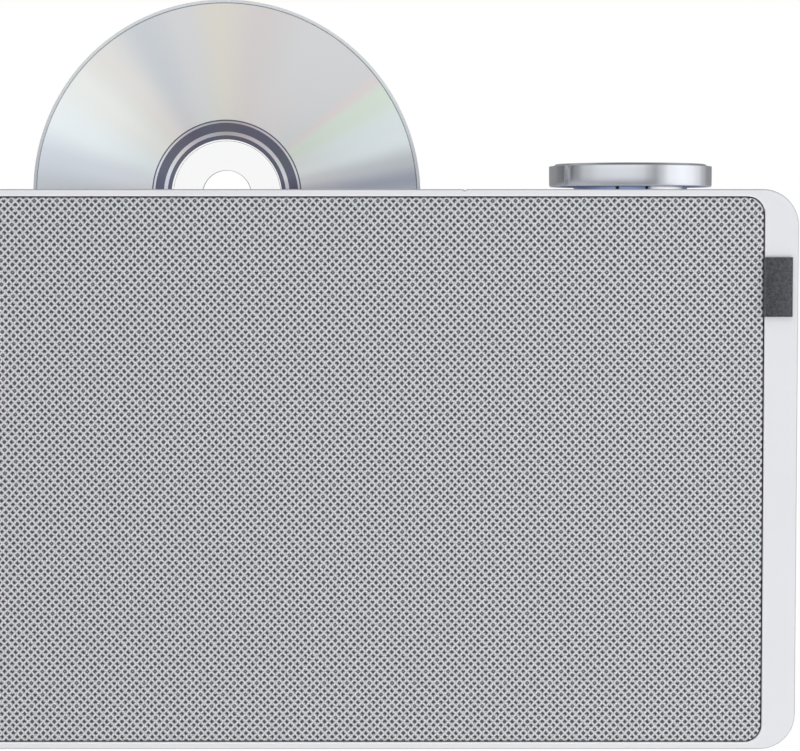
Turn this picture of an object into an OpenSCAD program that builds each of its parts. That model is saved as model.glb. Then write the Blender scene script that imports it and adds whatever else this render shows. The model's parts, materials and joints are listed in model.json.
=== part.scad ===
// Wall-hung disc player with a slot drive and two loudspeakers.
// Origin: centre of the wall bracket's screw pattern, on the wall. +Z is up, the front faces -Y.
// Most pieces are drawn in a front frame: x to the right, y up, and z the distance from the wall.

/* [Housing] */
// Width of the housing band
body_w = 466; // [450:1:600]
// Height of the housing band
body_h = 165; // [160:1:210]
// Depth of the housing band, front to back
body_d = 86; // [84:1:110]
// Outer corner radius seen from the front
corner_r = 10.5; // [9:0.5:16]
// Wall of the housing band, and the rim at the top and bottom of the grille
skin = 2.05; // [1.8:0.05:2.6]
// Width of the front rim at each side of the grille
rim_side = 9.8; // [9:0.1:14]
// Thickness of the front rim
lip_t = 3; // [2:0.5:4]
// Corner radius of the grille opening
opening_r = 5.2; // [3:0.1:8]
// Rounding of the band's outer edges
edge_r = 0.5; // [0.4:0.1:1]
// Chamfer round the front of the grille opening
opening_cham = 0.3; // [0.1:0.05:0.5]
// Width of the seam groove in the middle of the bottom rim
seam_w = 0.4; // [0.2:0.1:1]
// Diameter of the screw bosses inside the band
boss_d = 7; // [6:0.5:7]

/* [Wall bracket] */
// Distance from the wall to the back of the housing
wall_gap = 8; // [7:0.5:14]
// Height of the housing's top above the middle of the screw pattern
hang_drop = 45; // [40:1:50]
// Width of the bracket plate
plate_w = 190; // [180:1:240]
// Height of the bracket plate
plate_h = 48; // [46:1:60]
// Thickness of the bracket plate
plate_t = 2.5; // [1.5:0.5:3]
// Distance between the wall screws along X
screw_dx = 150; // [130:1:160]
// Distance between the wall screws along Z
screw_dz = 30; // [20:1:32]
// Diameter of the wall screw holes
screw_d = 5.2; // [4:0.1:6]
// Distance between the two hooks
hook_dx = 90; // [80:1:100]
// Width of a hook
hook_w = 16; // [10:1:20]
// Height of a hook's upturned lip
hook_lip = 5.5; // [4:0.5:6]

/* [Grille] */
// Gap between the grille and the rim
grille_gap = 0.45; // [0.4:0.05:0.8]
// Thickness of the cloth
cloth_t = 0.6; // [0.4:0.1:1]
// Thickness of the grille frame behind the cloth
frame_t = 3.6; // [3:0.1:5]
// Width of the grille frame's bars
frame_bar = 7; // [5:0.5:10]
// Thickness of the baffle
baffle_t = 5; // [4:0.5:6]
// Height of the side tag
tag_h = 17.3; // [12:0.1:24]
// How far the side tag lies over the rim
tag_w = 8; // [6:0.1:9]
// Middle of the side tag, below the housing's top
tag_drop = 28.4; // [20:0.1:60]

/* [Disc and slot] */
// Diameter of the disc
disc_d = 120; // [118:0.5:120]
// Diameter of the hole in the disc
disc_bore = 15; // [14.8:0.1:15.5]
// Thickness of the disc
disc_t = 1.2; // [1.1:0.05:1.3]
// Middle of the disc slot, to the right of the housing's middle
disc_x = 60.5; // [50:0.5:62]
// Distance from the housing's front to the disc
slot_setback = 43; // [42:0.5:46]
// Height of the disc's centre below the housing's top as it waits in the slot
disc_drop = 1.1; // [0:0.1:4]
// Travel of the disc from there down to the turntable
load_travel = 86; // [80:0.5:86]
// Length of the panel in the housing's top that holds the slot and the keys
panel_w = 150; // [148:1:160]
// Length of the slot
slot_w = 124; // [122.5:0.5:126]
// Width of the slot
slot_t = 4; // [3.6:0.1:6]

/* [Knob and keys] */
// Diameter of the knob
knob_d = 50.4; // [40:0.1:52]
// Middle of the knob, to the right of the housing's middle
knob_x = 185.6; // [178:0.1:190]
// Height of the knob's side
knob_side = 6.4; // [5:0.1:10]
// Height of the raised plate on the knob's top, with its chamfer
knob_cham = 0.7; // [0.3:0.1:1.2]
// Width of the shoulder round that plate
knob_step = 1.5; // [0.8:0.1:3]
// Gap under the knob
knob_gap = 1.3; // [1:0.1:2]
// Diameter of the collar under the knob
collar_d = 35.2; // [30:0.1:36]
// How far the knob is pushed to press it
knob_push = 0.5; // [0.2:0.1:0.6]
// Length of a key
key_w = 16; // [12:1:20]
// Depth of a key, front to back
key_t = 7; // [6:0.5:9]
// How far a key is pushed
key_push = 0.6; // [0.3:0.1:0.7]

/* [Loudspeakers] */
// Outer diameter of a loudspeaker's frame
driver_d = 88; // [80:1:88]
// Distance of a loudspeaker's axis from the housing's middle
driver_x = 174; // [174:1:176]
// How far a cone moves each way
cone_travel = 1.5; // [0.5:0.1:2]

/* [Drive] */
// Radius of the loading roller at its ends
roller_r = 4.5; // [4:0.1:5]
// Teeth of the roller's gear
roller_teeth = 20; // [20:4:20]
// Teeth of the idler gear
idler_teeth = 26; // [26:4:26]
// Teeth of the motor's pinion
pinion_teeth = 16; // [16:4:16]
// Module of the loading gears
gear_m = 0.7; // [0.6:0.05:0.7]
// How far the turntable lifts to the disc
lift_travel = 2.1; // [1.9:0.1:2.2]
// Angle by which the clamp arm stands open
clamp_open = 2; // [1.6:0.1:2.4]

/* [Hidden] */
$fn = 48;

// clearances
touch_gap = 0.3;       // between pieces that pass or nearly touch each other
run_gap = 0.05;        // radial clearance of a shaft in its bearing
hole_gap = 0.2;        // radial clearance of a screw in a plain hole

// planes of the front frame, as distances from the wall
z_back = wall_gap;
z_front = wall_gap + body_d;
y_top = hang_drop;
y_bottom = y_top - body_h;
y_mid = (y_top + y_bottom) / 2;
open_w = body_w - 2 * rim_side;
open_h = body_h - 2 * skin;
half_in = body_w / 2 - skin;

// rear cover
cover_t = 3;
cover_in = 0.5;                          // how deep the cover sits in the band
cover_back = z_back + cover_in;
cover_front = cover_back + cover_t;

// grille and baffle
grille_face = z_front - 0.1;
frame_front = grille_face - cloth_t;
frame_back = frame_front - frame_t;
baffle_front = z_front - lip_t - 3;
baffle_back = baffle_front - baffle_t;

// disc and drive
disc_z = z_front - slot_setback;
disc_y = y_top - disc_drop;
load_y = disc_y - load_travel;
disc_r = disc_d / 2;
disc_rear = disc_z - disc_t / 2;
disc_face = disc_z + disc_t / 2;
side_in = disc_r + 5;                    // inner faces of the chassis sides, from the disc's middle
sheet_t = 1.2;
tray_z = disc_z - 18;                    // back face of the chassis tray
side_front = disc_z + 9;
tray_top = y_top - 8;
tray_low = load_y - 70;
roller_y = y_top - 16;
roller_z = disc_rear - touch_gap - roller_r;
shaft_r = 1.5;
idler_y = roller_y - gear_m * (roller_teeth + idler_teeth) / 2;
pinion_y = idler_y - gear_m * (idler_teeth + pinion_teeth) / 2;
gear_w = 3;
gear_x = disc_x - side_in - sheet_t - 1.4 - gear_w;
seat_z = disc_rear - touch_gap - lift_travel;    // turntable's seat at rest
hub_h = 1.9;
rod_z = disc_z - 11.4;
rod_dy = 18;
screw_y = load_y - 27;
plate_z = disc_z - 9;                    // back face of the traverse plate
post_dx = side_in - 11;
post_dy = 34;
lens_x = disc_x - 23;                    // lens at the inner track
pivot_y = load_y - 62;
pivot_z = disc_z + 5.6;
arm_z = disc_z + 7.6;                    // back face of the closed clamp arm
tab_x = disc_r + 12;
tab_top = y_top - 20;
tab_low = y_top - 145;

// knob and keys
recess_d = collar_d + 1.6;
core_d = 12;
plunger_d = 6;
panel_t = 1;
panel_front = z_front - edge_r;
panel_back = z_back + 9;
key_z = z_front - 20;                    // middle line of the keys
key_pitch = 30;
key_stem = 3;
board_top = y_top - 11;

// screws and their bosses: four long bosses behind the side rims, two short ones against the walls
boss_x = half_in - boss_d / 2 + 0.2;
boss_in = 13;
mid_x = -body_w / 15;
mid_in = skin + boss_d / 2 - 0.2;
long_bosses = [for (i = [-1, 1], y = [y_bottom + boss_in, y_top - boss_in]) [i * boss_x, y]];
short_bosses = [for (y = [y_bottom + mid_in, y_top - mid_in]) [mid_x, y]];
screw_places = concat(long_bosses, short_bosses);
pilot_r = 1.5;
screw_r = 1.45;

// slot and its throat below the panel
throat_w = slot_w + 4;
throat_t = slot_t + 3.2;
throat_h = 7;

// front: grille, pegs, ribs and bass port
driver_places = [-driver_x, driver_x];
baffle_w = 2 * (boss_x - boss_d / 2 - touch_gap);
grille_w = open_w - 2 * grille_gap;
grille_h = open_h - 2 * grille_gap;
grille_r = opening_r - grille_gap;
rib_x = [-118, 0, 118];
peg_x = [-open_w / 2 + 8, -118, 118, open_w / 2 - 8];
peg_dy = open_h / 2 - 6.5;
peg_r = 2.3;
port_x = -body_w * 0.15;
port_y = y_bottom + 40;
port_r = 15;

// loudspeakers
cone_z = baffle_front - 4.5;             // height of the cone's edge
flange_r = driver_d / 2;
wall_r = flange_r - 4.3;
coil_r = 9.6;
frame_low = baffle_front - 30;
roll_r = 1.25 + cone_travel;             // half roll of the surround

// back: hooks, cable bay, boards and bumpers
hook_y = 10;
hook_t = 3;
hook_travel = hook_lip + 1;
bay_x0 = -body_w * 0.25;
bay_w = 70;
bay_y0 = y_bottom + 6;
bay_h = 38;
bay_top = bay_y0 + bay_h;
bay_mid = cover_back + 12;
bay_z = cover_back + 24;
bay_wall = 2;
inlet_x = bay_x0 + 22;
jack_x = bay_x0 + 52;
jack_y = bay_y0 + 10;
bumper_x = body_w / 2 - 32;
bumper_y = y_bottom + 16;
board_z = cover_front + 8;
board_t = 1.6;
board_x0 = bay_x0 - 7.5;
board_x1 = board_x0 + 82;
supply_y0 = bay_top + 22;
supply_y1 = supply_y0 + 29;
main_y0 = supply_y1 + 3;
main_y1 = main_y0 + 58;
board_rows = [supply_y0 + 4, supply_y1 - 4, main_y0 + 4, main_y1 - 4];
sink_x0 = board_x0 + 6;
sink_y0 = main_y1 - 32;
fin_pitch = 6.4;
fin_t = 1.6;

// encoder
bush_r = 4.5;
sleeve_top = -9;
sleeve_low = sleeve_top - 4;

// traverse and loading motor
motor_plate_x = gear_x - disc_x - 2.8;
can_r = 13;
sled_travel = disc_r - 25;                // from the inner to the outer track
arm_out = sled_travel + 37;

// ---------- shared forms ----------
module front() {
    rotate([90, 0, 0]) children();
}

// draws a flat outline between two distances from the wall
module slab(z0, z1) {
    rotate([90, 0, 0]) translate([0, 0, z0]) linear_extrude(z1 - z0) children();
}

module rounded(w, h, r) {
    union() {
        square([w - 2 * r, h], center = true);
        square([w, h - 2 * r], center = true);
        for (i = [-1, 1], j = [-1, 1]) translate([i * (w / 2 - r), j * (h / 2 - r)]) circle(r);
    }
}

// a cylinder whose axis runs along Y, between two distances from the wall
module drum(x, y, z0, z1, r) {
    front() translate([x, y, z0]) cylinder(h = z1 - z0, r = r);
}

// a cylinder whose axis runs along X, at height y and distance z from the wall
module rod_x(x0, x1, y, z, r) {
    translate([x0, -z, y]) rotate([0, 90, 0]) cylinder(h = x1 - x0, r = r);
}

// a box in the front frame, from its lowest to its highest corner
module block(x0, x1, y0, y1, z0, z1) {
    translate([x0, -z1, y0]) cube([x1 - x0, z1 - z0, y1 - y0]);
}

module capsule_top(w, t, h) {
    linear_extrude(h) rounded(w, t, t / 2 - 0.01);
}

// ---------- involute gears ----------
function inv_deg(a) = tan(a) * 180 / PI - a;
function flank(n, m, r, slack) =
    let (rp = n * m / 2, rb = rp * cos(20))
    90 / n - slack / rp * 180 / PI + inv_deg(20) - (r > rb ? inv_deg(acos(rb / r)) : 0);
function gear_points(n, m, slack = 0.06) =
    let (rp = n * m / 2, rb = rp * cos(20), ra = rp + 0.85 * m, rf = rp - 1.1 * m,
        rr = [rf, max(rf + 0.02, rb), (rb + rp) / 2 + 0.1 * m, rp, (rp + ra) / 2, ra])
    [for (k = [0:n - 1])
        let (c = 360 * k / n)
        for (s = [-1, 1], i = [0:5])
            let (q = s < 0 ? i : 5 - i, a = c + s * flank(n, m, rr[q], slack))
            rr[q] * [cos(a), sin(a)]];

module gear(n, bore_r, turn) {
    rotate([90, 0, 90]) difference() {
        linear_extrude(gear_w) rotate(turn) polygon(gear_points(n, gear_m));
        translate([0, 0, -1]) cylinder(h = gear_w + 2, r = bore_r);
    }
}

// ---------- housing ----------
// runs a profile round a rounded outline; its x is the distance from a corner's centre
module run_round(w, h, r) {
    front() translate([0, y_mid, 0]) {
        for (s = [0, 180]) {
            rotate(s) translate([w / 2 - r, 0, 0]) rotate([90, 0, 0])
                linear_extrude(h - 2 * r, center = true) children();
            rotate(s + 90) translate([h / 2 - r, 0, 0]) rotate([90, 0, 0])
                linear_extrude(w - 2 * r, center = true) children();
        }
        for (i = [-1, 1], j = [-1, 1])
            translate([i * (w / 2 - r), j * (h / 2 - r), 0])
                rotate(i > 0 ? (j > 0 ? 0 : 270) : (j > 0 ? 90 : 180))
                    rotate_extrude(angle = 90) children();
    }
}

module band_profile() {
    x0 = corner_r - skin;
    union() {
        translate([x0, z_back]) square([skin - edge_r, body_d]);
        translate([x0, z_back + edge_r]) square([skin, body_d - 2 * edge_r]);
        for (z = [z_back + edge_r, z_front - edge_r])
            translate([corner_r - edge_r, z]) circle(edge_r);
    }
}

module opening_profile() {
    c = opening_cham + 0.1;
    polygon([[opening_r - 0.1, z_front - c], [opening_r + c, z_front + 0.1], [opening_r - 0.1, z_front + 0.1]]);
}

module band_lip() {
    slab(z_front - lip_t, z_front) translate([0, y_mid]) difference() {
        rounded(body_w - skin, body_h - skin, corner_r - skin / 2);
        rounded(open_w, open_h, opening_r);
    }
}

// holds what belongs to the top wall at a place along X, with z pointing up from the outer face
module on_top(x, z) {
    translate([x, -z, y_top]) children();
}

module key_places() {
    for (k = [0:3]) on_top(disc_x + (k - 1.5) * key_pitch, key_z) children();
}

module housing_band() {
    end_x = panel_w / 2 + 0.8;
    color("gainsboro") difference() {
        union() {
            run_round(body_w, body_h, corner_r) band_profile();
            band_lip();
            for (p = long_bosses) drum(p[0], p[1], cover_front, z_front - lip_t + 0.5, boss_d / 2);
            for (p = short_bosses) drum(p[0], p[1], cover_front, baffle_back - touch_gap, boss_d / 2);
            for (s = [-1, 1]) on_top(disc_x + s * 64, key_z)
                translate([0, 0, board_top - y_top]) cylinder(h = y_top - board_top - skin / 2, r = 2.5);
        }
        for (p = screw_places) drum(p[0], p[1], cover_front - 1, cover_front + 12, pilot_r);
        // recess of the slot panel, run out through the front edge at both ends
        block(disc_x - end_x, disc_x + end_x, y_top - panel_t, y_top + 1, panel_back, panel_front);
        for (s = [-1, 1])
            block(disc_x + s * end_x - (s > 0 ? 0.8 : 0), disc_x + s * end_x + (s > 0 ? 0 : 0.8),
                y_top - 0.6, y_top + 1, panel_front - 1, z_front + 1);
        // openings for the slot's throat, the keys and the encoder
        on_top(disc_x, disc_z) translate([-throat_w / 2 - 0.1, -throat_t / 2 - 0.1, -skin - 1])
            cube([throat_w + 0.2, throat_t + 0.2, skin + 2]);
        key_places() translate([0, 0, -skin - 1])
            capsule_top(key_w + 2 * touch_gap, key_t + 2 * touch_gap, 9);
        on_top(knob_x, disc_z) translate([0, 0, -skin - 1]) cylinder(h = skin + 2, r = bush_r + hole_gap);
        run_round(open_w, open_h, opening_r) opening_profile();
        // seam where the band's two ends meet
        block(-seam_w / 2, seam_w / 2, y_bottom - 1, y_bottom + 0.5, z_back - 1, z_front + 1);
    }
}

module slot_panel() {
    color("whitesmoke") difference() {
        union() {
            block(disc_x - panel_w / 2, disc_x + panel_w / 2, y_top - panel_t, y_top,
                panel_back + 0.1, panel_front - 0.1);
            on_top(disc_x, disc_z) translate([-throat_w / 2, -throat_t / 2, -throat_h])
                cube([throat_w, throat_t, throat_h - panel_t / 2]);
        }
        on_top(disc_x, disc_z) translate([-slot_w / 2, -slot_t / 2, -throat_h - 1])
            cube([slot_w, slot_t, throat_h + 2]);
        // a shallow lead-in along both edges of the slot
        on_top(disc_x, disc_z) rotate([90, 0, 90]) linear_extrude(slot_w, center = true)
            polygon([[-slot_t / 2 - 0.5, 0.1], [-slot_t / 2, -0.5], [slot_t / 2, -0.5],
                [slot_t / 2 + 0.5, 0.1]]);
        key_places() translate([0, 0, -3]) capsule_top(key_w + 2 * touch_gap, key_t + 2 * touch_gap, 6);
    }
}

module slot_felts() {
    felt_t = slot_t / 2 - disc_t / 2 - 0.4;
    color("dimgray") for (s = [-1, 1])
        on_top(disc_x, disc_z) translate([-slot_w / 2 + 1, s * (slot_t - felt_t) / 2 - felt_t / 2, -throat_h])
            cube([slot_w - 2, felt_t, throat_h - 1.5]);
}

module knob_collar() {
    color("slategray") on_top(knob_x, disc_z) difference() {
        cylinder(h = knob_gap + 0.3, r = collar_d / 2);
        translate([0, 0, -1]) cylinder(h = knob_gap + 3, r = collar_d / 2 - 3);
        for (a = [-105, -74]) rotate(a) translate([collar_d / 2 - 0.6, -0.5, 0.4]) cube([2, 1, 5]);
    }
}

// ---------- front ----------

module peg_places() {
    for (x = peg_x, s = [-1, 1]) translate([x, y_mid + s * peg_dy]) children();
}

module baffle() {
    color("dimgray") difference() {
        union() {
            slab(baffle_back, baffle_front) translate([0, y_mid])
                rounded(baffle_w, body_h - 2 * skin - 2 * touch_gap, 5);
            // stiffening frame on the back and the four posts of the disc drive
            slab(baffle_back - 4, baffle_back + 1) translate([0, y_mid]) difference() {
                rounded(baffle_w - 8, body_h - 2 * skin - 24, 5);
                rounded(baffle_w - 14, body_h - 2 * skin - 30, 3);
            }
            for (s = [-1, 1], y = [tab_top, tab_low])
                drum(disc_x + s * tab_x, y, side_front + 1.5, baffle_back + 1, 3.5);
        }
        for (x = driver_places) drum(x, y_mid, baffle_back - 9, baffle_front + 1, driver_d / 2 - 4);
        drum(port_x, port_y, baffle_back - 9, baffle_front + 1, port_r + hole_gap);
        slab(baffle_back - 1, baffle_front + 1) peg_places() circle(peg_r + touch_gap);
        for (s = [-1, 1], y = [tab_top, tab_low])
            drum(disc_x + s * tab_x, y, side_front, side_front + 12, pilot_r);
    }
}

module grille_frame() {
    w = grille_w - 2 * cloth_t;
    h = grille_h - 2 * cloth_t;
    r = grille_r - cloth_t;
    color("dimgray") union() {
        slab(frame_back, frame_front) translate([0, y_mid]) difference() {
            rounded(w, h, r);
            rounded(w - 2 * frame_bar, h - 2 * frame_bar, 3);
        }
        slab(frame_back, frame_front - 0.8) for (x = rib_x)
            translate([x - 2, y_mid - h / 2 + 2]) square([4, h - 4]);
        slab(baffle_back + 0.5, frame_back + 1) peg_places() circle(peg_r);
    }
}

module grille_cloth() {
    color("darkgray") union() {
        slab(frame_front, grille_face) translate([0, y_mid]) rounded(grille_w, grille_h, grille_r);
        slab(frame_back, frame_front) translate([0, y_mid]) difference() {
            rounded(grille_w, grille_h, grille_r);
            rounded(grille_w - 2 * cloth_t, grille_h - 2 * cloth_t, grille_r - cloth_t);
        }
    }
}

module side_tag() {
    x0 = open_w / 2 - grille_gap + 0.1;
    fold_t = 0.9;
    fold_x = x0 + tag_w + grille_gap - fold_t / 2;
    rim_y = -z_front - 0.05;
    color("dimgray") translate([0, 0, y_top - tag_drop - tag_h / 2])
        linear_extrude(tag_h) union() {
            translate([x0, rim_y - fold_t / 2]) square([0.3, 4 + fold_t / 2]);
            translate([x0, rim_y - fold_t]) square([fold_x - x0, fold_t]);
            translate([fold_x, rim_y - fold_t / 2]) circle(fold_t / 2);
        }
}

module port_tube() {
    color("dimgray") drum_tube(port_x, port_y, z_back + 40, baffle_front, port_r, port_r - 2);
}

module drum_tube(x, y, z0, z1, r_out, r_in) {
    front() translate([x, y, z0]) difference() {
        cylinder(h = z1 - z0, r = r_out);
        translate([0, 0, -1]) cylinder(h = z1 - z0 + 2, r = r_in);
    }
}

// ---------- loudspeakers ----------

module driver(s) {
    front() translate([s * driver_x, y_mid, 0]) children();
}

module speaker_frame(s) {
    color("darkslategray") driver(s) difference() {
        rotate_extrude() polygon([
            [wall_r - 4.6, cone_z - 1.6], [wall_r - 2.5, cone_z - 1.6], [23.5, frame_low + 1.5],
            [11.5, frame_low + 1.5], [11.5, frame_low], [24.5, frame_low], [wall_r, cone_z - 3],
            [wall_r, baffle_front], [flange_r, baffle_front], [flange_r, baffle_front + 1.4],
            [wall_r - 1.5, baffle_front + 1.4], [wall_r - 1.5, cone_z], [wall_r - 4.6, cone_z]
        ]);
        for (a = [0:60:300]) rotate(a) translate([0, 0, frame_low + 12]) rotate([0, 90, 0])
            cylinder(h = 60, r = 7.5);
        for (a = [45:90:315]) rotate(a) translate([flange_r - 2, 0, baffle_front - 1])
            cylinder(h = 4, r = 1.2);
    }
}

module speaker_magnet(s) {
    magnet_r = 25;
    z0 = frame_low - 16;
    color("dimgray") driver(s) rotate_extrude() polygon([
        [0, z0], [magnet_r - 2, z0], [magnet_r - 2, z0 + 4], [magnet_r, z0 + 4.5], [magnet_r, frame_low - 4],
        [magnet_r - 2, frame_low - 3.5], [magnet_r - 2, frame_low], [coil_r + 0.6, frame_low],
        [coil_r + 0.6, z0 + 4], [coil_r - 1.2, z0 + 4], [coil_r - 1.2, frame_low + 1], [0, frame_low + 1]
    ]);
}

module surround(s) {
    in_r = wall_r - 4.6 - 2 * roll_r;
    color("dimgray") driver(s) rotate_extrude() union() {
        translate([in_r - 2.3, cone_z]) square([2.4, 0.6]);
        translate([wall_r - 4.7, cone_z]) square([3, 0.6]);
        difference() {
            translate([in_r + roll_r, cone_z]) circle(roll_r + 0.1);
            translate([in_r + roll_r, cone_z]) circle(roll_r - 0.5);
            translate([in_r - 2, cone_z - 5]) square([4 * roll_r, 5]);
        }
    }
}

module cone(s) {
    edge = wall_r - 4.6 - 2 * roll_r - 0.2;
    color("gray") driver(s) rotate_extrude() polygon([
        [0, cone_z - 10], [5, cone_z - 10.6], [10, cone_z - 13], [edge - 2, cone_z - 0.6],
        [edge - 2, cone_z], [edge, cone_z], [edge, cone_z - 0.6], [edge - 1.6, cone_z - 1.4],
        [coil_r, cone_z - 14.4], [coil_r, frame_low - 6], [coil_r - 0.6, frame_low - 6],
        [coil_r - 0.6, cone_z - 13.8], [5, cone_z - 11.4], [0, cone_z - 10.8]
    ]);
}

module speaker_frame_left() { speaker_frame(-1); }
module speaker_frame_right() { speaker_frame(1); }
module speaker_magnet_left() { speaker_magnet(-1); }
module speaker_magnet_right() { speaker_magnet(1); }
module surround_left() { surround(-1); }
module surround_right() { surround(1); }
module cone_left() { cone(-1); }
module cone_right() { cone(1); }

// ---------- back ----------

module rear_cover() {
    w = body_w - 2 * skin - 2 * touch_gap;
    h = body_h - 2 * skin - 2 * touch_gap;
    color("silver") difference() {
        union() {
            slab(cover_back, cover_front) translate([0, y_mid]) rounded(w, h, corner_r - skin - touch_gap);
            block(bay_x0 - bay_wall, bay_x0 + bay_w + bay_wall, bay_y0 - bay_wall, bay_top + bay_wall,
                cover_back + 1, bay_z + bay_wall);
            for (x = [board_x0 + 6, board_x1 - 6], y = board_rows) drum(x, y, cover_front - 1, board_z, 3);
        }
        block(bay_x0, bay_x0 + bay_w, bay_y0, bay_top, cover_back - 1, bay_z);
        // openings for the inlet in the bay's ceiling and for the jack in its front wall
        block(inlet_x - 13.2, inlet_x + 13.2, bay_top - 1, bay_top + bay_wall + 1,
            bay_mid - 7.2, bay_mid + 7.2);
        drum(jack_x, jack_y, bay_z - 1, bay_z + bay_wall + 1, 4.2);
        for (s = [-1, 1]) {
            slab(cover_back - 1, cover_front + 1)
                translate([s * hook_dx / 2 - hook_w / 2 - 1, hook_y - hook_t - hook_travel - 1])
                    square([hook_w + 2, hook_t + hook_travel + 1]);
            // vents
            for (k = [-4:4]) slab(cover_back - 1, cover_front + 1)
                translate([s * 165 + k * 7, y_mid + 8]) rounded(2.6, 46, 1.29);
            drum(s * bumper_x, bumper_y, cover_back - 1, cover_front + 1, 3);
        }
        for (p = screw_places) drum(p[0], p[1], cover_back - 1, cover_front + 1, screw_r + 0.25);
    }
}
module rear_screws() {
    color("dimgray") for (p = screw_places) difference() {
        union() {
            drum(p[0], p[1], cover_back - 1.8, cover_back, 2.8);
            drum(p[0], p[1], cover_back - 0.5, cover_front + 9, screw_r);
        }
        slab(cover_back - 2, cover_back - 0.8) translate(p) for (a = [0, 90]) rotate(a)
            square([3, 0.7], center = true);
    }
}

// figure-eight mains inlet with two pins, its mouth facing down into the bay
module inlet_outline() {
    union() {
        for (s = [-1, 1]) translate([s * 4.3, 0]) circle(4.2);
        square([8.6, 8.4], center = true);
    }
}

module power_inlet() {
    color("black") front() translate([inlet_x, bay_top, bay_mid]) rotate([-90, 0, 0]) difference() {
        union() {
            translate([0, 0, -1.6]) linear_extrude(1.6) square([30, 17], center = true);
            linear_extrude(16) square([26, 14], center = true);
        }
        translate([0, 0, -2.6]) linear_extrude(13) inlet_outline();
        for (s = [-1, 1]) translate([s * 4.3, 0, 9]) cylinder(h = 9, r = 1.22);
    }
}

module inlet_pins() {
    color("silver") front() translate([inlet_x, bay_top, bay_mid]) rotate([-90, 0, 0])
        for (s = [-1, 1]) translate([s * 4.3, 0, 1.5]) cylinder(h = 18, r = 1.2);
}

module aux_jack() {
    color("black") front() translate([jack_x, jack_y, bay_z]) difference() {
        union() {
            translate([0, 0, -1.2]) cylinder(h = 1.2, r = 5.2);
            cylinder(h = 4, r = 4);
            translate([-5, -5, bay_wall + 0.1]) cube([10, 10, 12]);
        }
        translate([0, 0, -2]) cylinder(h = 14, r = 1.8);
    }
}

module wall_bumpers() {
    color("dimgray") for (s = [-1, 1]) front() translate([s * bumper_x, bumper_y, 0]) rotate_extrude()
        polygon([[0, 0], [9, 0], [10, 1], [10, cover_back], [2.8, cover_back], [2.8, cover_front],
            [3.8, cover_front], [2.6, cover_front + 2], [0, cover_front + 2]]);
}

module wall_bracket() {
    color("silver") difference() {
        union() {
            slab(0, plate_t) rounded(plate_w, plate_h, 6);
            // folded edges that keep the plate stiff
            for (s = [-1, 1]) block(-plate_w / 2 + 10, plate_w / 2 - 10,
                s > 0 ? plate_h / 2 - plate_t : -plate_h / 2, s > 0 ? plate_h / 2 : plate_t - plate_h / 2,
                0, cover_back - touch_gap - 1);
            for (s = [-1, 1]) translate([s * hook_dx / 2, 0, 0]) {
                block(-hook_w / 2, hook_w / 2, hook_y - hook_t, hook_y, 0, cover_front + touch_gap + 2.5);
                block(-hook_w / 2, hook_w / 2, hook_y - hook_t, hook_y + hook_lip,
                    cover_front + touch_gap, cover_front + touch_gap + 2.5);
            }
        }
        for (i = [-1, 1], j = [-1, 1])
            drum(i * screw_dx / 2, j * screw_dz / 2, -1, plate_t + 1, screw_d / 2);
        slab(-1, plate_t + 1) translate([0, -6]) rounded(40, 14, 5);
    }
}

// ---------- electronics ----------
module main_board() {
    color("darkgreen") union() {
        block(board_x0, board_x1, main_y0, main_y1, board_z, board_z + board_t);
        // two chips, a row of capacitors and a socket
        block(board_x0 + 12, board_x0 + 28, main_y0 + 4, main_y0 + 20, board_z + 1, board_z + 3);
        block(board_x0 + 36, board_x0 + 48, main_y0 + 2, main_y0 + 14, board_z + 1, board_z + 3);
        for (k = [0:3]) drum(board_x0 + 58 + k * 6, main_y0 + 4, board_z + 1, board_z + 9, 2.4);
        block(board_x1 - 28, board_x1 - 6, main_y1 - 12, main_y1 - 4, board_z + 1, board_z + 8);
    }
}

module amp_heatsink() {
    color("dimgray") union() {
        block(sink_x0, sink_x0 + 6 * fin_pitch + fin_t, sink_y0, sink_y0 + 28,
            board_z + board_t, board_z + 5);
        for (k = [0:6]) block(sink_x0 + k * fin_pitch, sink_x0 + k * fin_pitch + fin_t,
            sink_y0, sink_y0 + 28, board_z + 4, board_z + 22);
    }
}

module power_supply() {
    color("saddlebrown") union() {
        block(board_x0, board_x1, supply_y0, supply_y1, board_z, board_z + board_t);
        // transformer, the two large capacitors, the small one and the coil
        block(board_x0 + 24, board_x0 + 52, supply_y0 + 2, supply_y1 - 2, board_z + 1, board_z + 24);
        for (y = [supply_y0 + 7, supply_y0 + 21]) drum(board_x0 + 12, y, board_z + 1, board_z + 20, 6);
        drum(board_x0 + 66, supply_y0 + 7, board_z + 1, board_z + 16, 5);
        block(board_x0 + 58, board_x0 + 74, supply_y0 + 16, supply_y0 + 25, board_z + 1, board_z + 12);
    }
}

module key_board() {
    color("darkgreen") difference() {
        union() {
            block(disc_x - 68, disc_x + 68, board_top - 1.6, board_top, key_z - 7, key_z + 7);
            for (k = [0:3]) {
                x = disc_x + (k - 1.5) * key_pitch;
                block(x - 3, x + 3, board_top - 0.5, board_top + 3.2, key_z - 3, key_z + 3);
            }
        }
        for (s = [-1, 1]) on_top(disc_x + s * 64, key_z) translate([0, 0, board_top - y_top - 3])
            cylinder(h = 4, r = 1.2);
    }
}

module key(k) {
    cap_t = 1.7;
    flange_top = -skin - touch_gap;
    stem_low = board_top + 3.2 + key_push + 0.1 - y_top;
    on_top(disc_x + (k - 1.5) * key_pitch, key_z) union() {
        translate([0, 0, flange_top - 0.5]) capsule_top(key_w, key_t, 0.5 - flange_top);
        translate([0, 0, flange_top - 1]) capsule_top(key_w + 2.4, key_t + 2.4, 1);
        translate([0, 0, stem_low]) cylinder(h = flange_top - stem_low - 0.5, r = key_stem / 2);
    }
}

module key_power() { color("lightgray") key(0); }
module key_source() { color("lightgray") key(1); }
module key_play() { color("lightgray") key(2); }
module key_eject() { color("lightgray") key(3); }

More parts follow.
